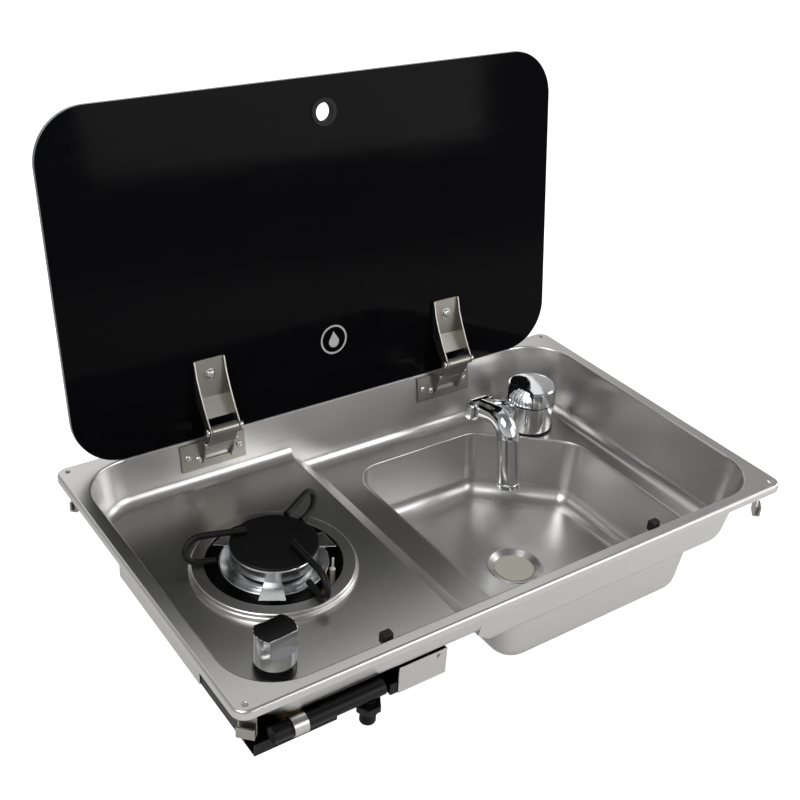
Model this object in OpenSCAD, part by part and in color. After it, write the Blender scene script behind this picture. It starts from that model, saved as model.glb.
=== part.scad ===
// Drop-in hob and sink combination with a folding glass lid, in millimetres.
// X runs along the long side to the right, Y runs to the back, Z points up.
// The origin is the middle of the rim's flat top; the worktop lies rim_h below it.

/* [Rim and recess] */
// Outer length of the rim
rim_w = 600; // [596:1:640]
// Outer depth of the rim
rim_d = 364; // [360:1:390]
// Height of the folded rim above the worktop
rim_h = 8; // [7:0.5:10]
// Corner radius of the rim
rim_corner_r = 12; // [8:1:16]
// Radius of the rim's folded top edge
rim_edge_r = 3; // [2:0.5:4]
// Thickness of the pressed steel sheet
sheet_t = 0.9; // [0.7:0.1:1.2]
// Width of the rim's land left and right of the recess
land_side = 14.5; // [13:0.5:16]
// Width of the rim's land in front of the recess
land_front = 12.5; // [11:0.5:14]
// Width of the rim's land behind the recess
land_back = 15.5; // [14:0.5:18]
// Corner radius of the recess opening
recess_r = 50; // [44:1:56]
// Lean of the recess walls, in degrees
wall_draft = 10; // [8:0.5:11]
// Depth of the hob floor below the rim's top
hob_depth = 48; // [46:0.5:52]
// Depth of the sink deck below the rim's top
deck_depth = 68; // [64:0.5:72]
// Radius between the recess walls and floors
floor_r = 14; // [10:1:16]
// Distance from the recess's left side to the top of the step
step_in = 227.5; // [223.5:1:231.5]
// Length of the sloping step
step_run = 25; // [20:1:28]
// Radius of the four rim screw holes
rim_hole_r = 2.1; // [1.8:0.1:2.4]
// Distance from the rim's side edges to the screw holes
rim_hole_inset_x = 10.5; // [9.5:0.5:12]
// Distance from the rim's front and back edges to the screw holes
rim_hole_inset_y = 9; // [8.5:0.5:10]

/* [Sink bowl] */
// Distance from the foot of the step to the bowl
bowl_gap_left = 30; // [27:1:33]
// Distance from the bowl to the recess's right side
bowl_gap_right = 37.5; // [35.5:0.5:41.5]
// Distance from the recess's front to the bowl
bowl_gap_front = 28.5; // [27.5:0.5:33.5]
// Distance from the bowl to the recess's back
bowl_gap_back = 39.5; // [36.5:0.5:42.5]
// Distance from the tap's axis to where the tap ledge starts on the back edge
ledge_in_x = 65; // [61:1:69]
// Distance from the tap's axis to where the tap ledge ends on the right edge
ledge_in_y = 60; // [56:1:64]
// Depth of the bowl below the sink deck
bowl_depth = 74; // [66:1:90]
// Corner radius of the bowl
bowl_r = 32; // [28:1:36]
// Lean of the bowl walls, in degrees
bowl_draft = 7; // [5:0.5:8]
// Radius between the bowl's walls and floor
bowl_floor_r = 22; // [18:1:24]
// Width of the flange welded under the deck
bowl_flange = 5; // [4:0.5:6]

/* [Waste] */
// Place of the waste from left to right, from the bowl's middle
waste_off_x = -8.5; // [-14:0.5:-3]
// Place of the waste from front to back, from the bowl's middle
waste_off_y = -9; // [-15:0.5:-3]
// Radius of the waste's bright seat
waste_seat_r = 30; // [28:0.5:33]
// Inner radius of the waste's throat
waste_bore_r = 20.5; // [19:0.5:21]
// Drop of the seat's cone
waste_seat_drop = 5; // [4:0.5:6]
// Length of the waste's throat
waste_len = 26; // [24:1:34]
// Thickness of the throat's wall
waste_wall = 1.6; // [1.4:0.1:2]
// Outer radius of the hose spigot
spigot_r = 12.5; // [11:0.5:14]
// Length of the hose spigot
spigot_len = 24; // [20:1:30]

/* [Burner] */
// Distance from the recess's left side to the burner's axis
burner_in = 122.5; // [117.5:0.5:125.5]
// Place of the burner from front to back, from the recess's middle
burner_off_y = 9.5; // [5.5:0.5:15.5]
// Outer radius of the trim ring
ring_r = 75; // [73:0.5:78]
// Radius of the trim ring's opening
ring_hole_r = 63; // [61:0.5:64]
// Height of the trim ring above the hob floor
ring_h = 7; // [6:0.5:8]
// Outer radius of the dished burner base
dish_r = 50; // [48:0.5:52]
// Radius of the burner head
head_r = 39; // [37:0.5:40]
// Radius of the black burner cap
cap_r = 40.5; // [39:0.5:42]
// Height of the cap's top above the hob floor
cap_top = 28; // [26:0.5:29]
// Thickness of the burner cap
cap_t = 3; // [2.5:0.5:4]
// Diameter of the pan support rods
rod_d = 5.2; // [4.6:0.1:5.6]
// Number of spokes on the burner head
spokes = 3; // [3:1:4]

/* [Gas control] */
// Distance from the recess's left side to the gas knob's axis
knob_in_x = 58.5; // [55.5:0.5:63.5]
// Distance from the recess's front to the gas knob's axis
knob_in_y = 62.5; // [59.5:0.5:65.5]
// Radius of the gas knob
knob_r = 18; // [17:0.5:19]
// Height of the knob's top above the hob floor
knob_top = 42; // [40:0.5:43]
// Height of the knob's skirt above the hob floor
knob_lift = 11.5; // [9:0.5:12]
// Travel of the knob when it is pressed
knob_push = 3; // [2:0.5:4]
// Width of the knob's grip between its flats
grip_w = 24.5; // [22:0.5:28]
// Outer radius of the gas rail
rail_r = 7; // [6:0.5:7.5]
// Length of the gas rail
rail_len = 103; // [98:1:110]
// Depth of the rail's axis below the rim's top
rail_drop = 55; // [52:0.5:58]

/* [Tap] */
// Distance from the recess's right side to the tap's axis
tap_in_x = 60.5; // [58.5:0.5:62.5]
// Distance from the recess's back to the tap's axis
tap_in_y = 56.5; // [54.5:0.5:58.5]
// Radius of the tap body
tap_r = 27.5; // [26:0.5:28]
// Height of the tap body above its seal
tap_body_h = 31; // [29:0.5:32]
// Height of the tap knob
tap_knob_h = 19; // [17:0.5:20]
// Radius of the spout tube
spout_r = 11; // [10:0.5:11.5]
// Distance from the tap's axis to the spout's plane
spout_offset = 74; // [70:1:78]
// Height of the spout's pivot below the rim's top
pivot_drop = 25; // [24:0.5:28]
// Lean of the spout's upper run above level, in degrees
spout_rise = 11.5; // [8:0.5:14]
// Reach of the spout's upper run from its pivot
spout_reach = 48; // [44:1:54]
// Length of the spout's lower run
spout_drop = 78; // [70:1:80]

/* [Lid] */
// Thickness of the glass
glass_t = 5; // [4:0.5:6]
// Gap between the closed glass and the recess sides
lid_gap_x = 3; // [2.5:0.5:4]
// Gap between the closed glass and the recess front and back
lid_gap_y = 2.5; // [2:0.5:3]
// Height of the closed glass above the rim's top
lid_rise = 3; // [3:0.25:4]
// Corner radius of the glass
glass_r = 49; // [44:1:54]
// Lean of the open lid past upright, in degrees
lid_tilt = 8; // [6:1:10]
// Radius of the finger hole in the glass
finger_r = 11.5; // [10:0.5:13]
// Distance from the glass's free edge to the finger hole
finger_inset = 34; // [30:1:40]

/* [Lid hinges] */
// Distance of each hinge from the middle of the lid
hinge_x = 142; // [136:1:148]
// Distance from the recess's back to the upper hinge pin, lid open
pin_in = 22.5; // [21.5:0.25:23.5]
// Height of the upper hinge pin above the rim's top, lid open
pin_z = 19; // [18.5:0.25:19.5]
// Distance of the upper pin from the glass's edge, along the glass
pin_along = 14.4; // [13.8:0.2:15]
// Distance of the upper pin from the glass's face
pin_off = 23.4; // [23:0.1:24]
// Radius of the upper hinge pin
pin_r = 2.5; // [2:0.25:2.75]
// Radius of the lower hinge pin
low_pin_r = 1.5; // [1.2:0.1:1.6]
// Forward place of the lower pin from the pins' chord
pin_swing = 5; // [4.5:0.25:5.5]
// Outer width of the lid brackets
bracket_w = 33; // [31:0.5:36]
// Length of the lid brackets along the glass
bracket_len = 80; // [76:1:84]
// Thickness of the hinges' sheet
hinge_t = 1.5; // [1.2:0.1:1.6]

/* [Underside] */
// Distance from the recess's left side to the burner box
box_in_left = 10.5; // [9.5:0.5:13.5]
// Distance from the burner box to the top of the step
box_gap_step = 32; // [28:1:36]
// Distance from the recess's front to the burner box
box_in_front = 10; // [9.5:0.5:13.5]
// Distance from the burner box to the recess's back
box_gap_back = 68.5; // [64.5:1:72.5]
// Depth of the burner box below the rim's top
box_drop = 77; // [75:1:84]
// Thickness of the burner box's sheet
box_t = 1; // [0.8:0.1:1.2]

/* [Hidden] */
$fn = 48;

// Cuts run this far past the faces they open
eps = 0.5;
// Gap between pieces that rest on each other
seat = 0.3;
// Radial clearance of a running pin
run_gap = 0.05;
// Segments of each pressed fillet
arc_n = 6;

recess_w = rim_w - 2 * land_side;
recess_d = rim_d - land_front - land_back;
recess_cy = (land_front - land_back) / 2;
recess_back = recess_cy + recess_d / 2;
recess_front = recess_cy - recess_d / 2;
recess_left = -recess_w / 2;
recess_right = recess_w / 2;
step_x = recess_left + step_in;
tap_x = recess_right - tap_in_x;
tap_y = recess_back - tap_in_y;
bowl_x0 = step_x + step_run + bowl_gap_left;
bowl_x1 = recess_right - bowl_gap_right;
bowl_y0 = recess_front + bowl_gap_front;
bowl_y1 = recess_back - bowl_gap_back;
ledge_x = tap_x - ledge_in_x;
ledge_y = tap_y - ledge_in_y;
waste_x = (bowl_x0 + bowl_x1) / 2 + waste_off_x;
waste_y = (bowl_y0 + bowl_y1) / 2 + waste_off_y;
burner_x = recess_left + burner_in;
burner_y = recess_cy + burner_off_y;
knob_x = recess_left + knob_in_x;
knob_y = recess_front + knob_in_y;
pin_y = recess_back - pin_in;
box_x0 = recess_left + box_in_left;
box_x1 = step_x - box_gap_step;
box_y0 = recess_front + box_in_front;
box_y1 = recess_back - box_gap_back;
rim_top = 0;
worktop_z = -rim_h;
// The recess is cut this far above its sheet, so that it opens the rim's top
skim = 0.01;
hob_z = rim_top - hob_depth + skim;
deck_z = rim_top - deck_depth + skim;
hob_under = rim_top - hob_depth - sheet_t;
deck_under = rim_top - deck_depth - sheet_t;
bowl_z = deck_z - bowl_depth;
bowl_under = deck_under - bowl_depth;
hole_x = rim_w / 2 - rim_hole_inset_x;
hole_y = rim_d / 2 - rim_hole_inset_y;
// Widening of the recess at its rounded top edge
recess_flare = 2;

glass_w = recess_w - 2 * lid_gap_x;
glass_h = recess_d - 2 * lid_gap_y;

// Open lid: the glass face's lower edge follows from the upper pin
lid_up = [sin(lid_tilt), cos(lid_tilt)];
lid_back = [cos(lid_tilt), -sin(lid_tilt)];
pin_open = [pin_y, pin_z];
edge_open = pin_open - pin_along * lid_up + pin_off * lid_back;
// Closed lid: the glass lies level over the recess
edge_closed = [recess_back - lid_gap_y, rim_top + lid_rise];
pin_closed = edge_closed - [pin_along, pin_off];
// The lower pin lies as far from the upper pin's open place as from its closed place
pin_mid = (pin_open + pin_closed) / 2;
pin_chord = pin_closed - pin_open;
low_pin = pin_mid + pin_swing * [-pin_chord[1], pin_chord[0]] / norm(pin_chord);
leaf_open = atan2(pin_open[1] - low_pin[1], pin_open[0] - low_pin[0]);
leaf_closed = 360 + atan2(pin_closed[1] - low_pin[1], pin_closed[0] - low_pin[0]);
leaf_turn = leaf_closed - leaf_open;
lid_turn = 90 + lid_tilt;
leaf_len = norm(pin_open - low_pin);
low_eye_r = low_pin_r + 1.1;
up_eye_r = pin_r + hinge_t;
leaf_w = bracket_w - 2 * hinge_t - 1;
leaf_t = 1.2;
ear_x = leaf_w / 2 + seat;

// Place of the recess's back wall at a given height
function wall_y(z) = recess_back - (rim_top - z) * tan(wall_draft);
// Points of an arc about a centre
function arc(c, r, a0, a1, n) =
  [for (i = [0:n]) c + r * [cos(a0 + (a1 - a0) * i / n), sin(a0 + (a1 - a0) * i / n)]];
// Point on a smooth curve through four points
function curve_point(a, b, c, d, t) = 0.5 * ((2 * b) + (c - a) * t
  + (2 * a - 5 * b + 4 * c - d) * t * t + (3 * b - 3 * c + d - a) * t * t * t);
// Smooth route through a list of points, with m steps between two of them
function smooth(p, m) = let (n = len(p) - 1) [for (i = [0:n - 1], k = [0:m - 1])
  curve_point(p[max(i - 1, 0)], p[i], p[i + 1], p[min(i + 2, n)], k / m), p[n]];
function unit(v) = v / norm(v);
// Cross axes of a route's rings, turned as little as possible from one to the next
function ring_axes(p, i, u) = let (n = len(p) - 1,
  t = unit(p[min(i + 1, n)] - p[max(i - 1, 0)]), v = unit(u - (u * t) * t)) [v, cross(t, v)];

// Round rod along a route of points, with flat ends
module swept_rod(p, r, sides) {
  n = len(p) - 1;
  axes = [for (i = 0, a = ring_axes(p, 0, [0, 0.1, 1]); i <= n;
    i = i + 1, a = i <= n ? ring_axes(p, i, a[0]) : a) a];
  points = [for (i = [0:n], k = [0:sides - 1])
    p[i] + r * (cos(360 * k / sides) * axes[i][0] + sin(360 * k / sides) * axes[i][1])];
  skin = [for (i = [0:n - 1], k = [0:sides - 1]) let (j = (k + 1) % sides)
    each [[i * sides + k, (i + 1) * sides + j, i * sides + j],
          [i * sides + k, (i + 1) * sides + k, (i + 1) * sides + j]]];
  first = [for (k = [1:sides - 2]) [0, k, k + 1]];
  last = [for (k = [1:sides - 2]) [n * sides, n * sides + k + 1, n * sides + k]];
  polyhedron(points, concat(skin, first, last));
}

// Half outline of a pressed pan: flared edge, leaning wall, fillet and floor
function pan_profile(r, depth, draft, fillet, flare) = let (
  fillet_y = fillet - depth,
  fillet_x = r + fillet_y * tan(draft) - fillet / cos(draft))
  concat([[0, 0], [r + flare, 0]],
    flare > 0 ? arc([r + flare, -flare], flare, 120, 180, 2) : [[r, 0]],
    arc([fillet_x, fillet_y], fillet, -draft, -90, arc_n), [[0, -depth]]);

// Pressed pan: a rounded rectangle in plan, with its top at z = 0
module pan(w, d, r, depth, draft, fillet, flare) {
  prof = pan_profile(r, depth, draft, fillet, flare);
  a = w / 2 - r;
  b = d / 2 - r;
  // full depth slab between the corner centres
  rotate([90, 0, 90]) translate([0, 0, -a]) linear_extrude(2 * a)
    polygon(concat([for (p = prof) [b + p[0], p[1]]],
      [for (i = [len(prof) - 1:-1:0]) [-b - prof[i][0], prof[i][1]]]));
  for (s = [-1, 1]) {
    // end slabs
    rotate([90, 0, 0]) translate([0, 0, -b]) linear_extrude(2 * b)
      polygon([for (p = prof) [s * (a + p[0]), p[1]]]);
    // quarter turns at the corners
    for (q = [-1, 1]) translate([s * a, q * b, 0])
      rotate([0, 0, s > 0 ? (q > 0 ? 0 : -90) : (q > 0 ? 90 : 180)])
        rotate_extrude(angle = 90) polygon(prof);
  }
}

// Flat outline with round corners
module round_rect(w, d, r) {
  square([w - 2 * r, d], center = true);
  square([w, d - 2 * r], center = true);
  for (s = [-1, 1], q = [-1, 1]) translate([s * (w / 2 - r), q * (d / 2 - r)]) circle(r);
}

// Ring or tube about Z, from z0 to z1
module tube(r1, r0, z0, z1) {
  difference() {
    translate([0, 0, z0]) cylinder(r = r1, h = z1 - z0);
    translate([0, 0, z0 - eps]) cylinder(r = r0, h = z1 - z0 + 2 * eps);
  }
}

// Hexagonal nut about Z with a round bore
module hex_ring(across, bore_r, h) {
  difference() {
    cylinder(r = across / sqrt(3), h = h, $fn = 6);
    translate([0, 0, -eps]) cylinder(r = bore_r, h = h + 2 * eps);
  }
}

// Recess space, or the outside of its sheet when grown
module recess(grow) {
  translate([0, recess_cy, rim_top]) {
    pan(recess_w + 2 * grow, recess_d + 2 * grow, recess_r + grow, hob_depth + grow,
      wall_draft, floor_r + grow, recess_flare);
    intersection() {
      pan(recess_w + 2 * grow, recess_d + 2 * grow, recess_r + grow, deck_depth + grow,
        wall_draft, floor_r + grow, recess_flare);
      rotate([90, 0, 0]) translate([0, 0, -rim_d / 2]) linear_extrude(rim_d)
        polygon([[step_x - grow, 0], [rim_w / 2, 0], [rim_w / 2, -deck_depth - 10],
          [step_x + step_run - grow, -deck_depth - 10],
          [step_x + step_run - grow, -deck_depth - grow],
          [step_x - grow, -hob_depth - grow + 0.01]]);
    }
  }
}

// Corner centres of the bowl's outline, moved out by grow
bowl_corners = [
  [bowl_x0 + bowl_r, bowl_y0 + bowl_r], [bowl_x1 - bowl_r, bowl_y0 + bowl_r],
  [bowl_x1 - bowl_r, ledge_y - bowl_r * tan(22.5)],
  [ledge_x - bowl_r * tan(22.5), bowl_y1 - bowl_r], [bowl_x0 + bowl_r, bowl_y1 - bowl_r]];

// Space inside the bowl, or the outside of its sheet when grown, top at z = 0
module bowl_space(grow) {
  hull() for (c = bowl_corners) translate(c)
    rotate_extrude($fn = 40)
      polygon(pan_profile(bowl_r + grow, bowl_depth + grow, bowl_draft,
        bowl_floor_r + grow, 0));
}

// The bowl's flat outline at the deck, moved out by grow
module bowl_outline(grow) {
  hull() for (c = bowl_corners) translate(c) circle(r = bowl_r + grow, $fn = 40);
}

module top_tray() {
  color("silver") difference() {
    union() {
      difference() {
        translate([0, 0, worktop_z]) mirror([0, 0, 1])
          pan(rim_w, rim_d, rim_corner_r, rim_h, 0, rim_edge_r, 0);
        translate([0, 0, worktop_z - eps]) mirror([0, 0, 1])
          pan(rim_w - 2 * sheet_t, rim_d - 2 * sheet_t, rim_corner_r - sheet_t,
            rim_h - sheet_t + eps, 0, rim_edge_r - sheet_t, 0);
      }
      recess(sheet_t);
    }
    translate([0, 0, skim]) recess(0);
    // bowl opening
    translate([0, 0, deck_z - 10]) linear_extrude(20) bowl_outline(0);
    // burner, knob, tap and rim screw holes
    translate([burner_x, burner_y, hob_z - 10]) cylinder(r = ring_hole_r + 1, h = 20);
    translate([knob_x, knob_y, hob_z - 10]) cylinder(r = stem_r + 2.5, h = 20);
    translate([tap_x, tap_y, deck_z - 10]) cylinder(r = tail_r + 0.5, h = 20);
    for (s = [-1, 1], q = [-1, 1]) translate([s * hole_x, q * hole_y, rim_top - 5]) {
      cylinder(r = rim_hole_r, h = 10);
      translate([0, 0, 5 - 0.5]) cylinder(r1 = rim_hole_r, r2 = rim_hole_r + 1.2, h = 0.6);
    }
  }
}

module sink_bowl() {
  color("silver") difference() {
    union() {
      translate([0, 0, deck_under]) translate([0, 0, sheet_t]) bowl_space(sheet_t);
      translate([0, 0, deck_under - sheet_t]) linear_extrude(sheet_t) bowl_outline(bowl_flange);
    }
    translate([0, 0, deck_z]) bowl_space(0);
    // the deck's sheet takes this layer
    translate([0, 0, deck_under]) linear_extrude(20) bowl_outline(bowl_flange + 10);
    // pressed seat and hole for the waste
    translate([waste_x, waste_y, bowl_z - waste_seat_drop])
      cylinder(r = waste_hole_r, h = 2 * waste_seat_drop);
  }
}

// Waste fitting
waste_hole_r = waste_seat_r - 2.5;
throat_r = waste_bore_r + waste_wall;
waste_top = bowl_z + 0.8;

module waste_flange() {
  color("gainsboro") translate([waste_x, waste_y, 0]) rotate_extrude() polygon([
    [waste_seat_r, bowl_z], [waste_seat_r, bowl_z + 0.4], [waste_seat_r - 0.8, waste_top],
    [waste_seat_r - 2, waste_top], [waste_bore_r, bowl_z - waste_seat_drop + 1],
    [waste_bore_r, bowl_z - waste_len], [throat_r, bowl_z - waste_len],
    [throat_r, bowl_z - waste_seat_drop - 1], [waste_hole_r - 0.2, bowl_z - sheet_t],
    [waste_hole_r - 0.2, bowl_z]]);
}

// Depth of the plug's flat top below the bowl's floor
plug_sink = 3;
plug_t = 4;

module waste_plug() {
  color("lightgray") translate([waste_x, waste_y, 0]) rotate_extrude() polygon([
    [0, bowl_z - plug_sink], [plug_r(plug_sink) - 0.8, bowl_z - plug_sink],
    [plug_r(plug_sink + 0.4), bowl_z - plug_sink - 0.4],
    [waste_bore_r - seat, bowl_z - waste_seat_drop + 1],
    [waste_bore_r - seat, bowl_z - plug_sink - plug_t],
    [0, bowl_z - plug_sink - plug_t]]);
}
// Radius of the seat's cone at a depth below the bowl's floor, less the seat's gap
function plug_r(depth) = waste_bore_r - seat + (waste_seat_drop - 1 - depth)
  * (waste_seat_r - 2 - waste_bore_r) / (waste_seat_drop - 1 + 0.8);

seal_t = 2.5;
module waste_seal() {
  color("dimgray") translate([waste_x, waste_y, 0])
    tube(waste_seat_r + 2, waste_hole_r + 0.1, bowl_under - seal_t, bowl_under);
}

nut_h = 9;
module waste_nut() {
  color("white") translate([waste_x, waste_y, bowl_under - seal_t - nut_h]) difference() {
    hex_ring(2 * waste_seat_r + 2, throat_r + 0.1, nut_h);
    // room for the flange's cone
    translate([0, 0, nut_h - 3]) cylinder(r = waste_hole_r - 2, h = 4);
  }
}

// Reducer that screws on the throat and carries the hose
reducer_wall = 2.2;
reducer_top = bowl_z - waste_len + 8;
module waste_spigot() {
  color("white") translate([waste_x, waste_y, 0]) rotate_extrude() polygon([
    [throat_r + 0.1, reducer_top], [throat_r + reducer_wall, reducer_top],
    [throat_r + reducer_wall, bowl_z - waste_len - 2],
    [spigot_r, bowl_z - waste_len - 6], [spigot_r, bowl_z - waste_len - 6 - spigot_len],
    [spigot_r - reducer_wall, bowl_z - waste_len - 6 - spigot_len],
    [spigot_r - reducer_wall, bowl_z - waste_len - 5],
    [throat_r - reducer_wall, bowl_z - waste_len], [throat_r + 0.1, bowl_z - waste_len]]);
}

// Burner: trim ring, black well, dished base, head and cap on one axis
ring_top = hob_z + ring_h;
well_drop = 16;
well_z = hob_z - well_drop;
// The well's lip lies under the middle of the trim ring
well_lip_r = (ring_hole_r + ring_r) / 2 - 1;
base_z = hob_z + ring_h;
cap_z = hob_z + cap_top - cap_t;

module at_burner() translate([burner_x, burner_y, 0]) children();

module burner_trim_ring() {
  color("silver") at_burner() rotate_extrude() polygon([
    [ring_hole_r, ring_top - 0.8], [ring_hole_r, ring_top], [ring_r - 1, ring_top],
    [ring_r, ring_top - 0.8], [ring_r + 0.6, ring_top - 3], [ring_r + 1.8, ring_top - 4],
    [ring_r + 2.4, hob_z], [ring_r + 1.2, hob_z], [ring_r + 0.6, ring_top - 5],
    [ring_r - 0.8, ring_top - 3.6], [ring_r - 1.4, ring_top - 0.8]]);
}

module burner_well() {
  color("black") at_burner() difference() {
    rotate_extrude() polygon([
      [well_lip_r, ring_top - 1.1], [ring_hole_r - 0.8, ring_top - 1.1],
      [ring_hole_r - 2, hob_z - 4], [dish_r + 4, well_z + 1], [head_r - 8, well_z + 1],
      [head_r - 8, well_z], [dish_r + 4.6, well_z], [ring_hole_r - 1.1, hob_z - 4.3],
      [ring_hole_r, ring_top - 2], [well_lip_r, ring_top - 2]]);
    // ways up for the electrode and the thermocouple
    for (a = [probe_angle, spark_angle]) rotate([0, 0, a])
      translate([probe_r, 0, well_z - eps]) cylinder(r = probe_hole_r, h = 10);
  }
}

probe_r = dish_r + 3.5;
probe_hole_r = 3.2;
probe_angle = -62;
spark_angle = -38;

module burner_base() {
  color("gainsboro") at_burner() difference() {
    rotate_extrude() polygon([
      [0, well_z + 1], [head_r - 5, well_z + 1], [head_r - 4, hob_z - 4],
      [dish_r - 1, base_z - 1.4], [dish_r, base_z - 0.8], [dish_r, base_z + 0.2],
      [dish_r - 1, base_z + 0.6], [head_r + 1.5, hob_z + 0.8], [head_r - 2, head_z],
      [0, head_z]]);
    // mixing throat above the injector
    translate([0, 0, well_z - 1]) cylinder(r = mix_r, h = 20);
  }
}
mix_r = 8;

head_z = hob_z - 0.5;
module burner_head() {
  color("gainsboro") at_burner() difference() {
    union() {
      rotate_extrude() polygon([
        [0, head_z], [head_r - 4, head_z], [head_r - 4, hob_z + 9], [head_r, hob_z + 11],
        [head_r, hob_z + 15], [head_r - 3, hob_z + 16.5], [head_r - 3, hob_z + 19],
        [head_r + 1, hob_z + 20.5], [head_r + 1, cap_z], [0, cap_z]]);
      for (i = [0:spokes - 1]) rotate([0, 0, -121 + i * 360 / spokes]) spoke();
    }
    // mixing chamber
    translate([0, 0, head_z - eps]) cylinder(r = mix_r, h = 14);
    // slots that let the flame out
    for (i = [0:23]) rotate([0, 0, i * 15 + 4]) translate([head_r - 5, -0.8, hob_z + 17])
      cube([8, 1.6, 1.8]);
  }
}

// Sloping plate that stands out from the head over the well
spoke_out = 58.5;
module spoke() {
  hull() {
    translate([head_r - 4, -5.5, hob_z + 11]) cube([2, 11, 3]);
    translate([spoke_out - 1, -10, hob_z + 8.5]) cube([1, 20, 1.5]);
  }
}

module burner_cap() {
  color("black") at_burner() difference() {
    rotate_extrude() polygon([
      [0, cap_z], [cap_r - 0.8, cap_z], [cap_r, cap_z + 0.8], [cap_r, cap_z + cap_t - 0.6],
      [cap_r - 0.6, cap_z + cap_t], [0, cap_z + cap_t]]);
    for (p = [[-30, 3], [28.5, 1.5]]) translate([p[0], p[1], cap_z + cap_t - 0.5])
      cylinder(r = 2.2, h = 1);
  }
}

// Routes of the three rods from the burner's axis: over the cap, out, down and back in
rod_up = cap_z + cap_t + rod_d / 2 + 0.05;
rod_low = ring_top + rod_d / 2 + 0.05;
rod_routes = [
  [[-16, 23, rod_up], [-48, 33.5, rod_up], [-62, 36.5, rod_up - 1.5], [-71, 34, (rod_up + rod_low) / 2 + 2],
   [-71, 29, (rod_up + rod_low) / 2 - 5], [-63, 27, rod_low + 0.6], [-47, 21.5, rod_low]],
  [[27.5, 26.5, rod_up], [52, 42, rod_up], [64, 50, rod_up - 1.5], [72, 54, (rod_up + rod_low) / 2 + 2],
   [73, 52, (rod_up + rod_low) / 2 - 5], [66, 46, rod_low + 0.6], [49, 36, rod_low]],
  [[11.5, -13, rod_up], [11.5, -48, rod_up], [11.5, -64, rod_up - 1.5], [10.5, -74, (rod_up + rod_low) / 2 + 2],
   [9, -76, (rod_up + rod_low) / 2 - 5], [8, -68, rod_low + 0.25], [8.5, -46.5, rod_low + 1]]];

module pan_support_rods() {
  color("black") at_burner()
    for (route = rod_routes) swept_rod(smooth(route, 5), rod_d / 2, 12);
}

// Height of a sensing tip above the hob floor
tip_h = 15;
// Length of the probes below the well
probe_low = 8;
module igniter_electrode() {
  color("white") at_burner() rotate([0, 0, spark_angle]) translate([probe_r, 0, 0]) {
    translate([0, 0, well_z - probe_low]) cylinder(r = probe_hole_r - 0.4, h = probe_low + well_drop + 3);
    translate([0, 0, hob_z + 3]) cylinder(r = 1, h = tip_h - 3);
  }
}

module thermocouple() {
  color("goldenrod") at_burner() rotate([0, 0, probe_angle]) translate([probe_r, 0, 0]) {
    translate([0, 0, well_z - probe_low]) cylinder(r = probe_hole_r - 0.4, h = probe_low + well_drop - 4);
    translate([0, 0, hob_z - 4]) cylinder(r = 1.6, h = tip_h + 4);
  }
}

// Brass injector below the burner's throat: flange, hexagon and jet
flange_z = well_z + 1 - seat;
injector_z = flange_z - 6.5;
module injector() {
  color("gold") at_burner() {
    translate([0, 0, flange_z - 2.5]) cylinder(r = mix_r + 4, h = 2.5);
    translate([0, 0, flange_z - 10]) rotate([0, 0, outlet_turn + 30])
      cylinder(r = 6, h = 8, $fn = 6);
    translate([0, 0, flange_z - 1]) cylinder(r = 4, h = 14);
  }
}

// Gas control: knob, spindle, valve, rail and inlet
stem_r = 3;
bezel_r = knob_r - 1;
knob_z = hob_z + knob_lift;
knob_top_z = hob_z + knob_top;
inlay_t = 1.2;
knob_wall = 0.7;
bezel_h = knob_lift + 2;
spindle_top = hob_z + 24;
// Space left under the knob's web for its travel
knob_web_z = hob_z + bezel_h + knob_push + 0.5;

// Height of the grip's flats below the knob's top
flat_h = 17;
module gas_knob() {
  color("silver") translate([knob_x, knob_y, 0]) difference() {
    translate([0, 0, knob_z]) cylinder(r = knob_r, h = knob_top_z - inlay_t - knob_z);
    // flats of the grip
    rotate([0, 0, grip_turn]) for (s = [-1, 1])
      translate([s * (grip_w / 2 + knob_r) - knob_r, -knob_r - 1, knob_top_z - flat_h])
        cube([2 * knob_r, 2 * knob_r + 2, flat_h + 1]);
    // skirt over the bezel and socket for the spindle
    translate([0, 0, knob_z - eps]) cylinder(r = bezel_r + 0.3, h = knob_web_z - knob_z + eps);
    translate([0, 0, knob_z - eps])
      cylinder(r = stem_r + run_gap, h = spindle_top + 0.3 - knob_z + eps);
  }
}

grip_turn = 94;
module knob_inlay() {
  color("black") translate([knob_x, knob_y, knob_top_z - inlay_t]) rotate([0, 0, grip_turn])
    linear_extrude(inlay_t) intersection() {
      circle(knob_r - knob_wall);
      square([grip_w - 2 * knob_wall, 2 * knob_r], center = true);
    }
}

module knob_bezel() {
  color("black") translate([knob_x, knob_y, hob_z]) rotate_extrude() polygon([
    [stem_r + 1, 0], [knob_r + 0.4, 0], [bezel_r, knob_lift - knob_push - 0.5],
    [bezel_r, bezel_h], [bezel_r - 2, bezel_h], [bezel_r - 2, 2], [stem_r + 1, 2]]);
}

valve_top = hob_under;
valve_h = 20;
valve_r = 13;
collar_r = 5;
spring_free = 8;
module valve_spindle() {
  color("goldenrod") translate([knob_x, knob_y, 0]) {
    translate([0, 0, valve_top - 12]) cylinder(r = stem_r, h = spindle_top - valve_top + 12);
    translate([0, 0, valve_top - 4 - knob_push]) cylinder(r = collar_r, h = 1.5);
  }
}

// Return spring below the spindle's collar, one turning wire
spring_wire = 0.7;
spring_turns = 4;
spring_z0 = valve_top - 17;
spring_z1 = valve_top - 4 - knob_push - 0.6;
module valve_spring() {
  color("silver") translate([knob_x, knob_y, 0])
    swept_rod([for (i = [0:spring_turns * 12]) let (a = i * 30)
      [(collar_r - 1) * cos(a), (collar_r - 1) * sin(a),
       spring_z0 + spring_wire + (spring_z1 - spring_z0 - 2 * spring_wire) * i / (spring_turns * 12)]],
      spring_wire, 6);
}

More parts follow.
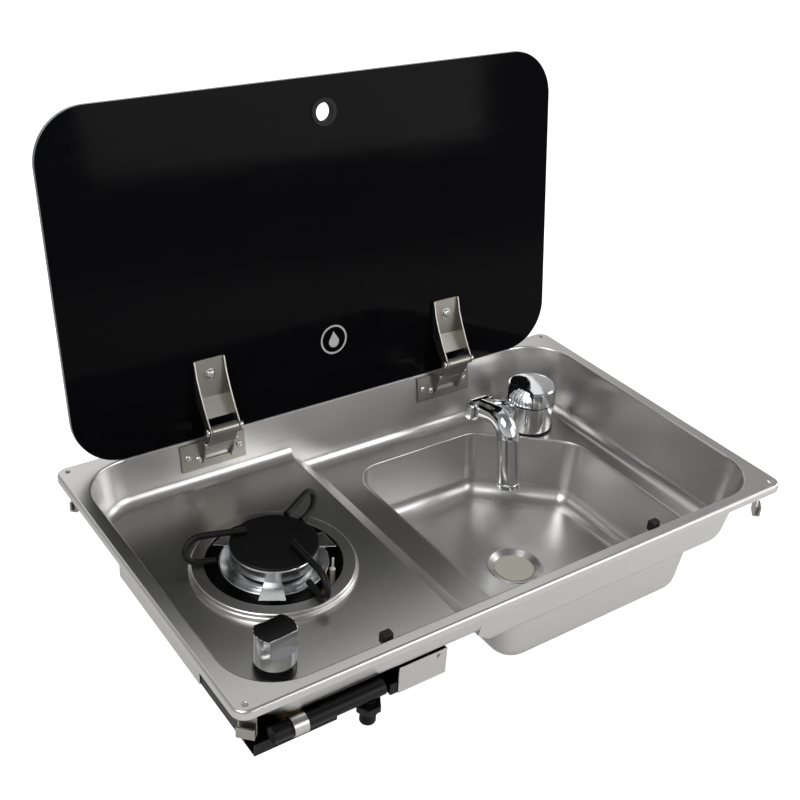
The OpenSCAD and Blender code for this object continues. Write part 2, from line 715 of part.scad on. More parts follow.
rail_y = box_y0 - 4.5;
clamp_x = knob_x - 12;
module gas_valve() {
  color("goldenrod") difference() {
    union() {
      translate([knob_x, knob_y, valve_top - valve_h]) cylinder(r = valve_r, h = valve_h);
      // arm to the rail, with a pad that the clamp is screwed to
      translate([clamp_x - 7, rail_y + rail_r + seat, -rail_drop - 7])
        cube([14, knob_y - rail_y - rail_r, 12.5]);
      translate([clamp_x - 7, rail_y + rail_r + seat, -rail_drop - 15]) cube([14, 4, 20]);
      // outlet to the burner
      translate([knob_x, knob_y, valve_top - valve_h + 7]) rotate([0, 90, outlet_turn])
        cylinder(r = 6, h = valve_r + 8, $fn = 6);
    }
    translate([clamp_x, rail_y, clamp_screw_z]) rotate([-90, 0, 0])
      cylinder(r = clamp_hole_r, h = 30);
    // way for the spindle and its spring
    translate([knob_x, knob_y, valve_top - 18]) cylinder(r = collar_r + 1, h = 14.5);
    translate([knob_x, knob_y, valve_top - 4]) cylinder(r = collar_r + 0.2, h = 3);
    translate([knob_x, knob_y, valve_top - 4]) cylinder(r = stem_r + 0.1, h = 5);
  }
}

outlet_turn = atan2(burner_y - knob_y, burner_x - knob_x);
outlet_dir = [cos(outlet_turn), sin(outlet_turn), 0];
outlet = [knob_x, knob_y, valve_top - valve_h + 7] + (valve_r + 8) * outlet_dir;
// The pipe ends at a flat of the injector's hexagon
pipe_end = [burner_x, burner_y, injector_z] - 5.5 * outlet_dir;
pipe_r = 3;
module feed_pipe() {
  dip = [0, 0, injector_z - outlet[2]];
  color("peru") swept_rod(smooth([outlet, outlet + 10 * outlet_dir,
    outlet + 22 * outlet_dir + 0.5 * dip, outlet + 34 * outlet_dir + dip,
    pipe_end - 30 * outlet_dir, pipe_end], 6), pipe_r, 10);
}

module along_rail() translate([0, rail_y, -rail_drop]) rotate([0, 90, 0]) children();
rail_x0 = clamp_x - 23;
module gas_rail() {
  color("black") difference() {
    along_rail() translate([0, 0, rail_x0]) tube(rail_r, rail_r - 1.2, 0, rail_len);
    translate([inlet_x, rail_y, -rail_drop - rail_r - eps]) cylinder(r = 4, h = rail_r);
  }
}

module rail_end_plugs() {
  color("black") along_rail() for (x = [rail_x0, rail_x0 + rail_len - 5])
    translate([0, 0, x]) cylinder(r = rail_r - 1.2, h = 5);
}

clamp_w = 13;
clamp_t = 1.4;
ear_len = 9.5;
clamp_hole_r = 1.9;
clamp_screw_z = -rail_drop - 11.2;
module saddle_clamp() {
  color("gainsboro") difference() {
    union() {
      along_rail() translate([0, 0, clamp_x - clamp_w / 2])
        tube(rail_r + seat + clamp_t, rail_r + seat, 0, clamp_w);
      translate([clamp_x - clamp_w / 2, rail_y + rail_r - clamp_t, -rail_drop - 5.6 - ear_len])
        cube([clamp_w, clamp_t, ear_len]);
    }
    // the valve's arm closes the back of the loop
    translate([clamp_x - clamp_w, rail_y + rail_r, -rail_drop - 30]) cube([2 * clamp_w, 20, 60]);
    translate([clamp_x, rail_y, clamp_screw_z]) rotate([-90, 0, 0])
      cylinder(r = clamp_hole_r, h = 30);
  }
}

module clamp_screw() {
  color("silver") translate([clamp_x, rail_y + rail_r - clamp_t, clamp_screw_z])
    rotate([90, 0, 0]) {
      cylinder(r = 2.6, h = 2);
      translate([0, 0, -clamp_t - 3]) cylinder(r = 1.8, h = clamp_t + 3);
    }
}

// Inlet union below the rail, where the gas hose screws on
inlet_x = rail_x0 + rail_len - 13;
inlet_thread_r = 7;
inlet_len = 14;
inlet_neck = 3.5;
inlet_bore_r = 3;
inlet_z = -rail_drop - rail_r;
module gas_inlet() {
  color("dimgray") translate([inlet_x, rail_y, 0]) difference() {
    union() {
      translate([0, 0, inlet_z - 3.5]) cylinder(r = 5.5, h = 3.5 + 0.6);
      translate([0, 0, inlet_z - 10]) cylinder(r = 20 / sqrt(3), h = 6.5, $fn = 6);
      translate([0, 0, inlet_z - 10 - inlet_len]) cylinder(r = inlet_thread_r, h = inlet_len - inlet_neck);
      // undercut that the seal lies round
      translate([0, 0, inlet_z - 10 - inlet_len]) cylinder(r = inlet_thread_r - 0.2, h = inlet_len);
    }
    translate([0, 0, inlet_z - 40]) cylinder(r = inlet_bore_r, h = 60);
    along_rail_cut();
  }
}
// Rounds the union's top to the rail
module along_rail_cut() {
  translate([-30, 0, -rail_drop]) rotate([0, 90, 0]) cylinder(r = rail_r + run_gap, h = 60);
}

module inlet_seal() {
  color("black") translate([inlet_x, rail_y, 0])
    tube(inlet_thread_r + 2, inlet_thread_r + run_gap, inlet_z - 12.5, inlet_z - 10);
}

// Burner box: folded sheet sides below the hob floor, over a black base
box_top = hob_under - seat;
box_open_x = box_x1 - 49;
side_open_y = box_y0 + 93.5;
module burner_box() {
  h = box_drop + box_top;
  color("silver") difference() {
    union() {
      // left, back and right sides
      translate([box_x0, side_open_y, -box_drop]) cube([box_t, box_y1 - side_open_y, h]);
      translate([box_x0, box_y1 - box_t, -box_drop]) cube([box_x1 - box_x0, box_t, h]);
      translate([box_x1 - box_t, box_y0, -box_drop]) cube([box_t, box_y1 - box_y0, h]);
      // front, right of the opening for the rail
      translate([box_open_x, box_y0, -box_drop]) cube([box_x1 - box_open_x, box_t, h]);
    }
    translate([box_x1 - 8, box_y0 - eps, -box_drop + 22]) rotate([-90, 0, 0])
      cylinder(r = 1.3, h = 4);
  }
}

// Base plate with a notch for the inlet and upstands on the front and left
base_x0 = box_x0 + box_t + seat;
base_y0 = box_y0 + box_t + seat;
base_x1 = box_x1 - box_t - seat;
base_z0 = -box_drop;
notch_r = 26; // room for the hose's nut and a spanner
notch_x0 = inlet_x - notch_r;
notch_x1 = inlet_x + notch_r;
side_upstand_y = box_y0 + 17.5;
upstand_h = 12;
module box_base() {
  color("black") difference() {
    union() {
      translate([base_x0, base_y0, base_z0])
        cube([base_x1 - base_x0, box_y1 - box_t - seat - base_y0, box_t]);
      translate([base_x0, base_y0, base_z0]) cube([notch_x0 - base_x0, box_t, upstand_h]);
      translate([notch_x1, base_y0, base_z0]) cube([box_open_x - notch_x1, box_t, upstand_h]);
      translate([base_x0, side_upstand_y, base_z0])
        cube([box_t, side_open_y - side_upstand_y, box_drop + box_top]);
    }
    translate([notch_x0, base_y0 - eps, base_z0 - eps])
      cube([notch_x1 - notch_x0, rail_y + notch_r - base_y0, 3 * box_t]);
    // notch in the front upstand for the clamp's ear
    translate([clamp_x - clamp_w / 2 - 1.5, base_y0 - eps, base_z0 + 6])
      cube([clamp_w + 3, box_t + 2 * eps, upstand_h]);
    // air holes below the burner
    for (i = [-2:2]) translate([burner_x + i * 16, burner_y, base_z0 - eps])
      cylinder(r = 4, h = 3);
  }
}

module box_screws() {
  color("silver") {
    translate([box_x1 - 8, box_y0 + box_t, -box_drop + 22]) rotate([90, 0, 0]) {
      translate([0, 0, box_t]) cylinder(r = 2.2, h = 1.2);
      translate([0, 0, -3]) cylinder(r = 1.25, h = 3 + box_t);
    }
  }
}

// Tap: seal, body with its side arm, cartridge, knob and folding spout
tap_seal_t = 3;
tail_r = 10;
tail_len = 34;
tap_z = deck_z + tap_seal_t;
tap_split = tap_z + tap_body_h;
tap_gap = 1.2;
pivot_r = 5;
arm_r = 6.8;
arm_z = tap_split - arm_r - 0.6;
bend_r = 20;
cap_x = tap_x - spout_offset;
pivot_z = -pivot_drop;

module tap_seal() {
  color("black") translate([tap_x, tap_y, 0]) tube(tap_r + 0.6, tail_r + 0.3, deck_z, tap_z);
}

module tap_body() {
  color("silver") difference() {
    union() {
      translate([tap_x, tap_y, 0]) {
        translate([0, 0, tap_z]) cylinder(r = tap_r, h = tap_body_h);
        translate([0, 0, deck_under - tail_len]) cylinder(r = tail_r, h = tap_z - deck_under + tail_len);
      }
      // arm rising towards the bowl, its knuckle and the pin that carries the spout
      hull() {
        translate([tap_x - tap_r + 6, tap_y, arm_z]) rotate([0, 90, 0])
          cylinder(r = arm_r, h = 1, $fn = 32);
        translate([cap_x + spout_r + seat + 5, tap_y, pivot_z]) rotate([0, 90, 0])
          cylinder(r = arm_r, h = 1, $fn = 32);
      }
      translate([cap_x + spout_r + seat, tap_y, pivot_z]) rotate([0, 90, 0])
        cylinder(r = arm_r + 1.2, h = 7);
      translate([cap_x - spout_r - seat, tap_y, pivot_z]) rotate([0, 90, 0])
        cylinder(r = pivot_r, h = 2 * spout_r + 2 * seat + 2);
    }
    translate([tap_x, tap_y, tap_split - 14]) cylinder(r = 9.05, h = 14 + eps);
    // the arm leaves room for the knob
    translate([tap_x, tap_y, tap_split]) cylinder(r = tap_r, h = tap_knob_h);
    translate([tap_x, tap_y, deck_under - tail_len - eps]) cylinder(r = 5, h = 40);
  }
}

module tap_cartridge() {
  color("goldenrod") translate([tap_x, tap_y, 0]) {
    translate([0, 0, tap_split - 14]) cylinder(r = 9, h = 14);
    translate([0, 0, tap_split]) cylinder(r = 4, h = tap_gap + 8);
  }
}

module tap_knob() {
  knob_z0 = tap_split + tap_gap;
  color("silver") translate([tap_x, tap_y, 0]) difference() {
    union() {
      translate([0, 0, knob_z0]) cylinder(r = tap_r - 0.5, h = tap_knob_h - 3);
      translate([0, 0, knob_z0 + tap_knob_h - 3])
        cylinder(r1 = tap_r - 0.5, r2 = tap_r - 3, h = 3);
    }
    translate([0, 0, knob_z0 - eps]) cylinder(r = 4 + run_gap, h = 8 + 0.4 + eps);
    // finger scoop in the front left of the grip
    rotate([0, 0, 215]) translate([tap_r + 13, 0, knob_z0 + 4]) cylinder(r = 26, h = tap_knob_h);
  }
}

// Straight run from the pivot, a quarter bend and a straight drop
module at_spout() translate([cap_x, tap_y, pivot_z]) rotate([-spout_rise, 0, 0]) children();
module spout() {
  color("silver") at_spout() difference() {
    union() {
      rotate([0, 90, 0]) translate([0, 0, -spout_r]) cylinder(r = spout_r + 0.5, h = 2 * spout_r);
      rotate([90, 0, 0]) cylinder(r = spout_r, h = spout_reach - bend_r);
      translate([0, bend_r - spout_reach, -bend_r]) rotate([90, 0, -90])
        rotate_extrude(angle = 90) translate([bend_r, 0]) circle(spout_r);
      translate([0, -spout_reach, -spout_drop]) cylinder(r = spout_r, h = spout_drop - bend_r);
    }
    rotate([0, 90, 0]) translate([0, 0, -spout_r - eps])
      cylinder(r = pivot_r + run_gap, h = 2 * spout_r + 2 * eps);
    translate([0, -spout_reach, -spout_drop - eps]) cylinder(r = spout_r - 1.5, h = 30);
  }
}

module spout_cap() {
  color("silver") translate([cap_x - spout_r - seat, tap_y, pivot_z]) rotate([0, -90, 0])
    linear_extrude(5) round_rect(17, 17, 4);
}

module tap_nut() {
  color("goldenrod") translate([tap_x, tap_y, deck_under - 8]) hex_ring(32, tail_r + 0.05, 8);
}

// Hose tail on the tap's threaded end
module tap_inlet() {
  color("silver") translate([tap_x, tap_y, deck_under - tail_len]) {
    difference() {
      union() {
        translate([0, 0, -4]) cylinder(r = 9, h = 4);
        translate([0, 0, -24]) cylinder(r = 6, h = 20);
      }
      translate([0, 0, -30]) cylinder(r = 4, h = 31);
    }
  }
}

// Lid, drawn in its own frame: X along, Z up the glass, face in the plane y = 0
module in_lid() translate([0, edge_open[0], edge_open[1]]) rotate([-lid_tilt, 0, 0]) children();
bracket_screw_v = 64;
bracket_bend_v = 40;
screw_hole_r = 2.6;

module lid_glass() {
  color([0.05, 0.05, 0.06]) in_lid() difference() {
    translate([0, 0, glass_h / 2]) rotate([-90, 0, 0]) linear_extrude(glass_t)
      round_rect(glass_w, glass_h, glass_r);
    translate([0, -eps, glass_h - finger_inset]) rotate([-90, 0, 0])
      cylinder(r = finger_r, h = glass_t + 2 * eps);
    for (s = [-1, 1]) translate([s * hinge_x, -eps, bracket_screw_v]) rotate([-90, 0, 0])
      cylinder(r = screw_hole_r, h = glass_t + 2 * eps);
  }
}

grommet_lip = 2.5;
module finger_grommet() {
  color("black") in_lid() translate([0, 0, glass_h - finger_inset]) rotate([-90, 0, 0])
    rotate_extrude() polygon([
      [finger_r - 2.5, -0.8], [finger_r - 1.7, -1.6], [finger_r + 1.5, -1.6],
      [finger_r + grommet_lip, -0.8], [finger_r + grommet_lip, 0], [finger_r, 0],
      [finger_r, glass_t], [finger_r + grommet_lip, glass_t],
      [finger_r + grommet_lip, glass_t + 0.8], [finger_r + 1.5, glass_t + 1.6],
      [finger_r - 1.7, glass_t + 1.6], [finger_r - 2.5, glass_t + 0.8]]);
}

// Side of a lid bracket in the lid's frame: from the glass to the pin, y towards the glass
module bracket_side() {
  difference() {
    union() {
      polygon([[-pin_off - 2.6, pin_along + 4.2], [-18, 34], [-11, 50], [-6, 64], [-4, 76],
        [-3, bracket_len], [0, bracket_len], [0, bracket_bend_v],
        [-10, 24], [-pin_off + 4.2, pin_along - 2.6]]);
      translate([-pin_off, pin_along]) circle(5);
    }
    translate([-pin_off, pin_along]) circle(pin_r);
  }
}

module lid_bracket(s) {
  color("silver") in_lid() translate([s * hinge_x, 0, 0]) difference() {
    union() {
      for (q = [-1, 1]) translate([q * (bracket_w - hinge_t) / 2 - hinge_t / 2, 0, 0])
        rotate([90, 0, 90]) linear_extrude(hinge_t) bracket_side();
      // web on the glass, bent towards the pin below
      rotate([90, 0, 90]) translate([0, 0, -bracket_w / 2]) linear_extrude(bracket_w)
        polygon([[0, bracket_len], [-hinge_t, bracket_len], [-hinge_t, bracket_bend_v + 0.4],
          [-12.2, 22.6], [-11, 21.6], [0, bracket_bend_v]]);
    }
    translate([0, -5, bracket_screw_v]) rotate([-90, 0, 0]) cylinder(r = screw_hole_r, h = 10);
  }
}
module left_lid_bracket() lid_bracket(-1);
module right_lid_bracket() lid_bracket(1);

washer_t = 1;
screw_r = 2.4;
module bracket_washers() {
  color("silver") in_lid() for (s = [-1, 1]) translate([s * hinge_x, 0, bracket_screw_v])
    rotate([-90, 0, 0]) {
      tube(6, screw_hole_r, -hinge_t - washer_t, -hinge_t);
      tube(6.5, screw_hole_r, glass_t, glass_t + washer_t);
    }
}

module bracket_screws() {
  color("silver") in_lid() for (s = [-1, 1]) translate([s * hinge_x, 0, bracket_screw_v])
    rotate([-90, 0, 0]) {
      translate([0, 0, -hinge_t - washer_t - 2.6]) cylinder(r1 = 3.6, r2 = 4.4, h = 2.6);
      translate([0, 0, -hinge_t - washer_t]) cylinder(r = screw_r, h = hinge_t + glass_t + 2 * washer_t + 3.4);
      translate([0, 0, glass_t + washer_t]) cylinder(r = 5, h = 3, $fn = 6);
    }
}

pin_head_r = 4;
pin_head_t = 3;
module upper_hinge_pins() {
  color("gainsboro") for (s = [-1, 1]) translate([s * hinge_x, pin_y, pin_z]) rotate([0, 90, 0]) {
    translate([0, 0, -bracket_w / 2 - 0.5]) cylinder(r = pin_r, h = bracket_w + 1);
    for (q = [-1, 1]) translate([0, 0, q * (bracket_w / 2 + seat + pin_head_t / 2)])
      cylinder(r = pin_head_r, h = pin_head_t, center = true);
  }
}

// Leaf between the two pins: a plate with a rolled eye at each end
module leaf_outline() {
  front = unit(pin_open - low_pin);
  side = [-front[1], front[0]];
  difference() {
    union() {
      translate(pin_open) circle(up_eye_r);
      translate(low_pin) circle(low_eye_r);
      polygon([low_pin + side * low_eye_r, low_pin + side * (low_eye_r - leaf_t),
        pin_open + side * (low_eye_r - leaf_t), pin_open + side * low_eye_r]);
    }
    translate(pin_open) circle(pin_r + run_gap);
    translate(low_pin) circle(low_pin_r + run_gap);
  }
}
module hinge_leaf(s) {
  color("silver") translate([s * hinge_x - leaf_w / 2, 0, 0])
    rotate([90, 0, 90]) linear_extrude(leaf_w) leaf_outline();
}
module left_hinge_leaf() hinge_leaf(-1);
module right_hinge_leaf() hinge_leaf(1);

module lower_hinge_pins() {
  color("gainsboro") for (s = [-1, 1]) translate([s * hinge_x, low_pin[0], low_pin[1]])
    rotate([0, 90, 0]) {
      translate([0, 0, -ear_x - ear_t - 0.5]) cylinder(r = low_pin_r, h = 2 * (ear_x + ear_t) + 1);
      for (q = [-1, 1]) translate([0, 0, q * (ear_x + ear_t + seat + 0.6)])
        cylinder(r = low_pin_r + 0.9, h = 1.2, center = true);
    }
}

// Base on the recess's back wall: wings, two cheeks with the lower pin, and a front cover
ear_t = 1.2;
base_top_z = rim_top - 3;
base_bottom_z = rim_top - 31;
cover_top_z = low_pin[1] - low_eye_r - 1;
cover_low = [wall_y(rim_top - 16) - 7.4, rim_top - 16.5];
cover_high = [low_pin[0] + 2.2, cover_top_z];
wing_left = 38;
wing_right = 32;
module cheek_outline() {
  difference() {
    union() {
      translate(low_pin) circle(low_eye_r);
      polygon([low_pin + [0.4, low_eye_r], low_pin + [-low_eye_r, 0], cover_high - [0.6, 0],
        cover_low - [0.6, 0], cover_low + [-0.4, -1], [wall_y(base_bottom_z + 4) - hinge_t, base_bottom_z + 4],
        [wall_y(low_pin[1] - 2) - hinge_t, low_pin[1] - 2]]);
    }
    translate(low_pin) circle(low_pin_r);
  }
}
module hinge_base(s) {
  color("silver") translate([s * hinge_x, 0, 0]) difference() {
    union() {
      for (q = [-1, 1]) translate([q > 0 ? ear_x : -ear_x - ear_t, 0, 0])
        rotate([90, 0, 90]) linear_extrude(ear_t) cheek_outline();
      // front cover
      translate([-ear_x, 0, 0]) rotate([90, 0, 90]) linear_extrude(2 * ear_x)
        polygon([cover_high, cover_low, cover_low + [1.2, 0], cover_high + [1.2, 0]]);
      // wings on the wall
      translate([-wing_left, 0, 0]) rotate([90, 0, 90]) linear_extrude(wing_left + wing_right)
        polygon([[wall_y(base_top_z) - hinge_t - seat, base_top_z],
          [wall_y(base_bottom_z) - hinge_t - seat, base_bottom_z],
          [wall_y(base_bottom_z) - seat, base_bottom_z], [wall_y(base_top_z) - seat, base_top_z]]);
    }
    // window behind the leaf
    translate([-ear_x, low_pin[0], base_bottom_z + 8]) cube([2 * ear_x, 40, 60]);
    for (p = hinge_screw_places) on_wall(p) cylinder(r = 2, h = 20, center = true);
  }
}
hinge_screw_places = [[-31, -17], [-20, -21], [25, -17]];
// Place on the back wall, with Z square to it and pointing out of it
module on_wall(p) {
  translate([p[0], wall_y(rim_top + p[1]), rim_top + p[1]]) rotate([90 - wall_draft, 0, 0])
    children();
}
module left_hinge_base() hinge_base(-1);
module right_hinge_base() hinge_base(1);

module hinge_base_screws() {
  color("silver") for (s = [-1, 1]) translate([s * hinge_x, 0, 0])
    for (p = hinge_screw_places) on_wall(p) {
      translate([0, 0, seat + hinge_t + 0.1]) cylinder(r1 = 3.4, r2 = 2.4, h = 1.6);
      translate([0, 0, seat]) cylinder(r = 1.8, h = hinge_t + 0.2);
    }
}

// Rubber buffers on the recess's front wall, which the closed glass rests on
buffer_places = [-159, 138];
buffer_top = rim_top + lid_rise - seat;
// Place of a buffer's back face in the recess, clear of the leaning wall
buffer_wall = 1.6;
module lid_buffers() {
  color("black") for (x = buffer_places)
    translate([x - 5, recess_front + buffer_wall, buffer_top - 10]) cube([10, 7.5, 10]);
}

// Hooked brackets below the rim's corners, which clamp the unit to the worktop
hook_out = 17;
hook_len = 38;
hook_w = 15;
module corner_clamps() {
  color("gray") for (sx = [-1, 1], sy = [-1, 1]) scale([sx, sy, 1])
    translate([rim_w / 2 - hook_out, rim_d / 2 - hook_out, 0]) rotate([0, 0, 45]) {
      translate([-11, -hook_w / 2, -sheet_t - seat - 2]) cube([17, hook_w, 2]);
      translate([0, -hook_w / 2, -sheet_t - seat - hook_len]) cube([2, hook_w, hook_len]);
      translate([0, -hook_w / 2, -sheet_t - seat - hook_len]) cube([7.5, hook_w, 2]);
      translate([5.5, -hook_w / 2, -sheet_t - seat - hook_len]) cube([2, hook_w, 10]);
    }
}

top_tray();
sink_bowl();
waste_flange();
waste_plug();
waste_seal();
waste_nut();
waste_spigot();
burner_trim_ring();
burner_well();
burner_base();
burner_head();
burner_cap();
pan_support_rods();
igniter_electrode();
thermocouple();
injector();
feed_pipe();
gas_knob();
knob_inlay();
knob_bezel();
valve_spindle();
valve_spring();
gas_valve();
gas_rail();
rail_end_plugs();
saddle_clamp();
clamp_screw();
gas_inlet();
inlet_seal();
burner_box();
box_base();
box_screws();
tap_seal();
tap_body();
tap_cartridge();
tap_knob();
spout();
spout_cap();
tap_nut();
tap_inlet();
lid_glass();
finger_grommet();
left_lid_bracket();
right_lid_bracket();
bracket_screws();
bracket_washers();
upper_hinge_pins();
left_hinge_leaf();
right_hinge_leaf();
lower_hinge_pins();
left_hinge_base();
right_hinge_base();
hinge_base_screws();
lid_buffers();
corner_clamps();
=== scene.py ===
# Drop-in hob and sink unit with a folding glass lid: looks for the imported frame.
# X runs along the long side to the right, Y to the back, Z up; sizes are in millimetres.
from math import atan2, cos, degrees, hypot, pi, radians, sin, tan

import bpy
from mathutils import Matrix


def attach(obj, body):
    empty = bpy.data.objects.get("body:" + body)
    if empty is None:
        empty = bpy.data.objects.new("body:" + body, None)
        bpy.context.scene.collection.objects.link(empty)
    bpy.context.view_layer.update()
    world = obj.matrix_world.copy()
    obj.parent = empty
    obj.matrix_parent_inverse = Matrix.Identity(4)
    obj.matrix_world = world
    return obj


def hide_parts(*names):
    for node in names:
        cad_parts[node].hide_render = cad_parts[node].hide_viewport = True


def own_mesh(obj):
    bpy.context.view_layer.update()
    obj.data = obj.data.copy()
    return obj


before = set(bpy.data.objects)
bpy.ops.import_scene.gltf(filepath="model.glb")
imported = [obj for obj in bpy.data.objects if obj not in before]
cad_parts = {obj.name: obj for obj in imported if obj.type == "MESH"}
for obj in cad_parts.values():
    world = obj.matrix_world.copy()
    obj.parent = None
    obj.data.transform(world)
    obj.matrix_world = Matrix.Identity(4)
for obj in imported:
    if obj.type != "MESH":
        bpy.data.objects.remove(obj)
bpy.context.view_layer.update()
bpy.ops.object.select_all(action="DESELECT")
scene = bpy.context.scene
MM = 0.001


# ---- Camera and studio
# The camera stands in front and to the left of the unit and looks down on it.
# White paper floor; soft lamps above at the left, low in front, wide behind, weak at the right.
def srgb(code):
    """Linear colour of an sRGB hex value."""
    parts = [int(code[i:i + 2], 16) / 255 for i in (1, 3, 5)]
    return [c / 12.92 if c <= 0.04045 else ((c + 0.055) / 1.055) ** 2.4 for c in parts] + [1]


def add(tree, kind, values=None, links=None, **settings):
    """Adds one node with its settings, input values and links."""
    node = tree.nodes.new(kind)
    for key, value in settings.items():
        setattr(node, key, value)
    for key, value in (values or {}).items():
        node.inputs[key].default_value = value
    for key, value in (links or {}).items():
        tree.links.new(value, node.inputs[key])
    return node


def finish(name, **values):
    """Starts a material: its tree, its shader with plain values set, and its object coordinates."""
    material = bpy.data.materials.new(name)
    material.use_nodes = True
    shader = material.node_tree.nodes["Principled BSDF"]
    for key, value in values.items():
        shader.inputs[key.replace("_", " ")].default_value = value
    coords = material.node_tree.nodes.new("ShaderNodeTexCoord").outputs["Object"]
    return material, material.node_tree, shader, coords


bpy.ops.object.camera_add(location=(-0.58848, -0.73755, 0.63637),
                          rotation=(1.038664, -0.060861, -0.603828))
camera = bpy.context.object
camera.data.sensor_fit = "HORIZONTAL"
camera.data.sensor_width = 36
camera.data.lens = 53.51
camera.data.clip_end = 60
scene.camera = camera
scene.view_settings.view_transform = "Standard"

world = bpy.data.worlds.new("Studio")
scene.world = world
world.use_nodes = True
sky = world.node_tree
# The camera sees it as white paper; the object sees a weaker light
view = add(sky, "ShaderNodeLightPath")
level = add(sky, "ShaderNodeMath", {1: 0.38, 2: 0.62}, {0: view.outputs["Is Camera Ray"]},
            operation="MULTIPLY_ADD")
sky.links.new(level.outputs[0], sky.nodes["Background"].inputs["Strength"])
direction = add(sky, "ShaderNodeTexCoord")
height = add(sky, "ShaderNodeSeparateXYZ", links={0: direction.outputs["Generated"]})
ramp = add(sky, "ShaderNodeValToRGB", links={"Fac": height.outputs["Z"]})
ramp.color_ramp.elements[0].color = srgb("#ffffff")
ramp.color_ramp.elements[1].position = 0.9
ramp.color_ramp.elements[1].color = srgb("#8f8f8f")
sky.links.new(ramp.outputs["Color"], sky.nodes["Background"].inputs["Color"])

# Lamps: place and size in metres, power in watts, turn in degrees
for name, spot, size, power, turn in (
        ("key", (-1.0, -0.5, 1.5), 1.1, 16, (-18, -34, 0)),
        ("front", (0.8, -1.35, 0.55), 1.0, 9, (70, 0, 30)),
        ("back", (0.3, 1.3, 1.2), 2.2, 9, (-48, 0, -12)),
        ("side", (1.5, -0.4, 0.7), 0.8, 5, (0, 62, 0))):
    bpy.ops.object.light_add(type="AREA", location=spot, rotation=[radians(a) for a in turn])
    lamp = bpy.context.object
    lamp.name = name + "_lamp"
    lamp.data.size = size
    lamp.data.energy = power

floor_z = -200
bpy.ops.mesh.primitive_plane_add(size=30, location=(0, 0, floor_z * MM))
floor = bpy.context.object
floor.name = "floor"
material, tree, shader, coords = finish("White paper floor", Base_Color=srgb("#e6e6e6"),
                                        Roughness=0.9, Specular_IOR_Level=0)
# The paper shows white to the camera and pale grey in reflections, and keeps its shadow
ray = add(tree, "ShaderNodeLightPath")
mirrored = add(tree, "ShaderNodeMath", {}, {0: ray.outputs["Is Glossy Ray"],
                                            1: ray.outputs["Is Transmission Ray"]},
               operation="MAXIMUM")
glow = add(tree, "ShaderNodeMath", {1: 0.1}, {0: mirrored.outputs[0]}, operation="MULTIPLY")
glow = add(tree, "ShaderNodeMath", {1: 0.85}, {0: ray.outputs["Is Camera Ray"],
                                               2: glow.outputs[0]}, operation="MULTIPLY_ADD")
paper = add(tree, "ShaderNodeEmission", {"Color": srgb("#ffffff")}, {"Strength": glow.outputs[0]})
both = add(tree, "ShaderNodeAddShader", {}, {0: shader.outputs[0], 1: paper.outputs[0]})
tree.links.new(both.outputs[0], tree.nodes["Material Output"].inputs["Surface"])
floor.data.materials.append(material)


# ---- Pressed steel top
# Stainless sheet, 0.9 mm, deep drawn in one pressing and brushed along its length.
# The rim's edge is folded down and stands on the worktop; the hob floor lies above the deck.
def alone(piece):
    """Makes a piece the only one selected, and the active one."""
    bpy.ops.object.select_all(action="DESELECT")
    piece.select_set(True)
    bpy.context.view_layer.objects.active = piece


def settle(piece, edge=0.25, steps=3, sharp=32):
    """Eases the sharp edges of a piece, edge in mm, and smooths the faces between them."""
    alone(piece)
    if edge:
        bevel = piece.modifiers.new("edge", "BEVEL")
        bevel.width = edge * MM
        bevel.segments = steps
        bevel.limit_method = "ANGLE"
        bevel.angle_limit = radians(sharp)
        bpy.ops.object.modifier_apply(modifier="edge")
    bpy.ops.object.shade_smooth_by_angle(angle=radians(48 if edge else sharp))
    weigh = piece.modifiers.new("normals", "WEIGHTED_NORMAL")
    weigh.keep_sharp = True
    bpy.ops.object.modifier_apply(modifier="normals")


def unpicked():
    """Leaves nothing selected in the active mesh."""
    bpy.ops.object.mode_set(mode="EDIT")
    bpy.ops.mesh.select_all(action="DESELECT")
    bpy.ops.object.mode_set(mode="OBJECT")


def merged(node):
    """Copy of a CAD node with its loose triangles merged into flat faces."""
    piece = bpy.data.objects.new(node + "_piece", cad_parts[node].data.copy())
    scene.collection.objects.link(piece)
    alone(piece)
    bpy.ops.object.mode_set(mode="EDIT")
    bpy.ops.mesh.select_all(action="SELECT")
    bpy.ops.mesh.remove_doubles(threshold=0.002 * MM)
    bpy.ops.mesh.dissolve_limited(angle_limit=radians(0.4))
    bpy.ops.object.mode_set(mode="OBJECT")
    return piece


def carry(piece, body, slot, material, *nodes):
    """Gives a piece its material, hangs it from the empty of the body it rides on, and hides the
    CAD nodes it stands for.
    """
    if material:
        piece.data.materials.clear()
        piece.data.materials.append(material)
    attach(piece, body)
    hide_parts(*nodes)


# Brushed 304 sheet: straight satin grain along X and soft cloudy sheen; the real grain of about
# 0.1 mm is drawn 0.5 mm wide, so that a trace of it shows
steel, tree, shader, coords = finish("Brushed stainless steel", Base_Color=srgb("#cfcecb"),
                                     Metallic=1, Roughness=0.28)
stretch = add(tree, "ShaderNodeMapping", {"Scale": (7, 2100, 2100)}, {"Vector": coords})
grain = add(tree, "ShaderNodeTexNoise", {"Scale": 1, "Detail": 3, "Roughness": 0.6},
            {"Vector": stretch.outputs["Vector"]})
cloud = add(tree, "ShaderNodeTexNoise", {"Scale": 11, "Detail": 2, "Roughness": 0.5},
            {"Vector": coords})
rough = add(tree, "ShaderNodeMapRange", {"From Min": 0.3, "From Max": 0.7, "To Min": 0.285,
                                         "To Max": 0.31}, {"Value": grain.outputs["Fac"]})
drift = add(tree, "ShaderNodeMapRange", {"From Min": 0.3, "From Max": 0.7, "To Min": -0.02,
                                         "To Max": 0.02}, {"Value": cloud.outputs["Fac"]})
total = add(tree, "ShaderNodeMath", {}, {0: rough.outputs[0], 1: drift.outputs[0]},
            operation="ADD")
tree.links.new(total.outputs[0], shader.inputs["Roughness"])
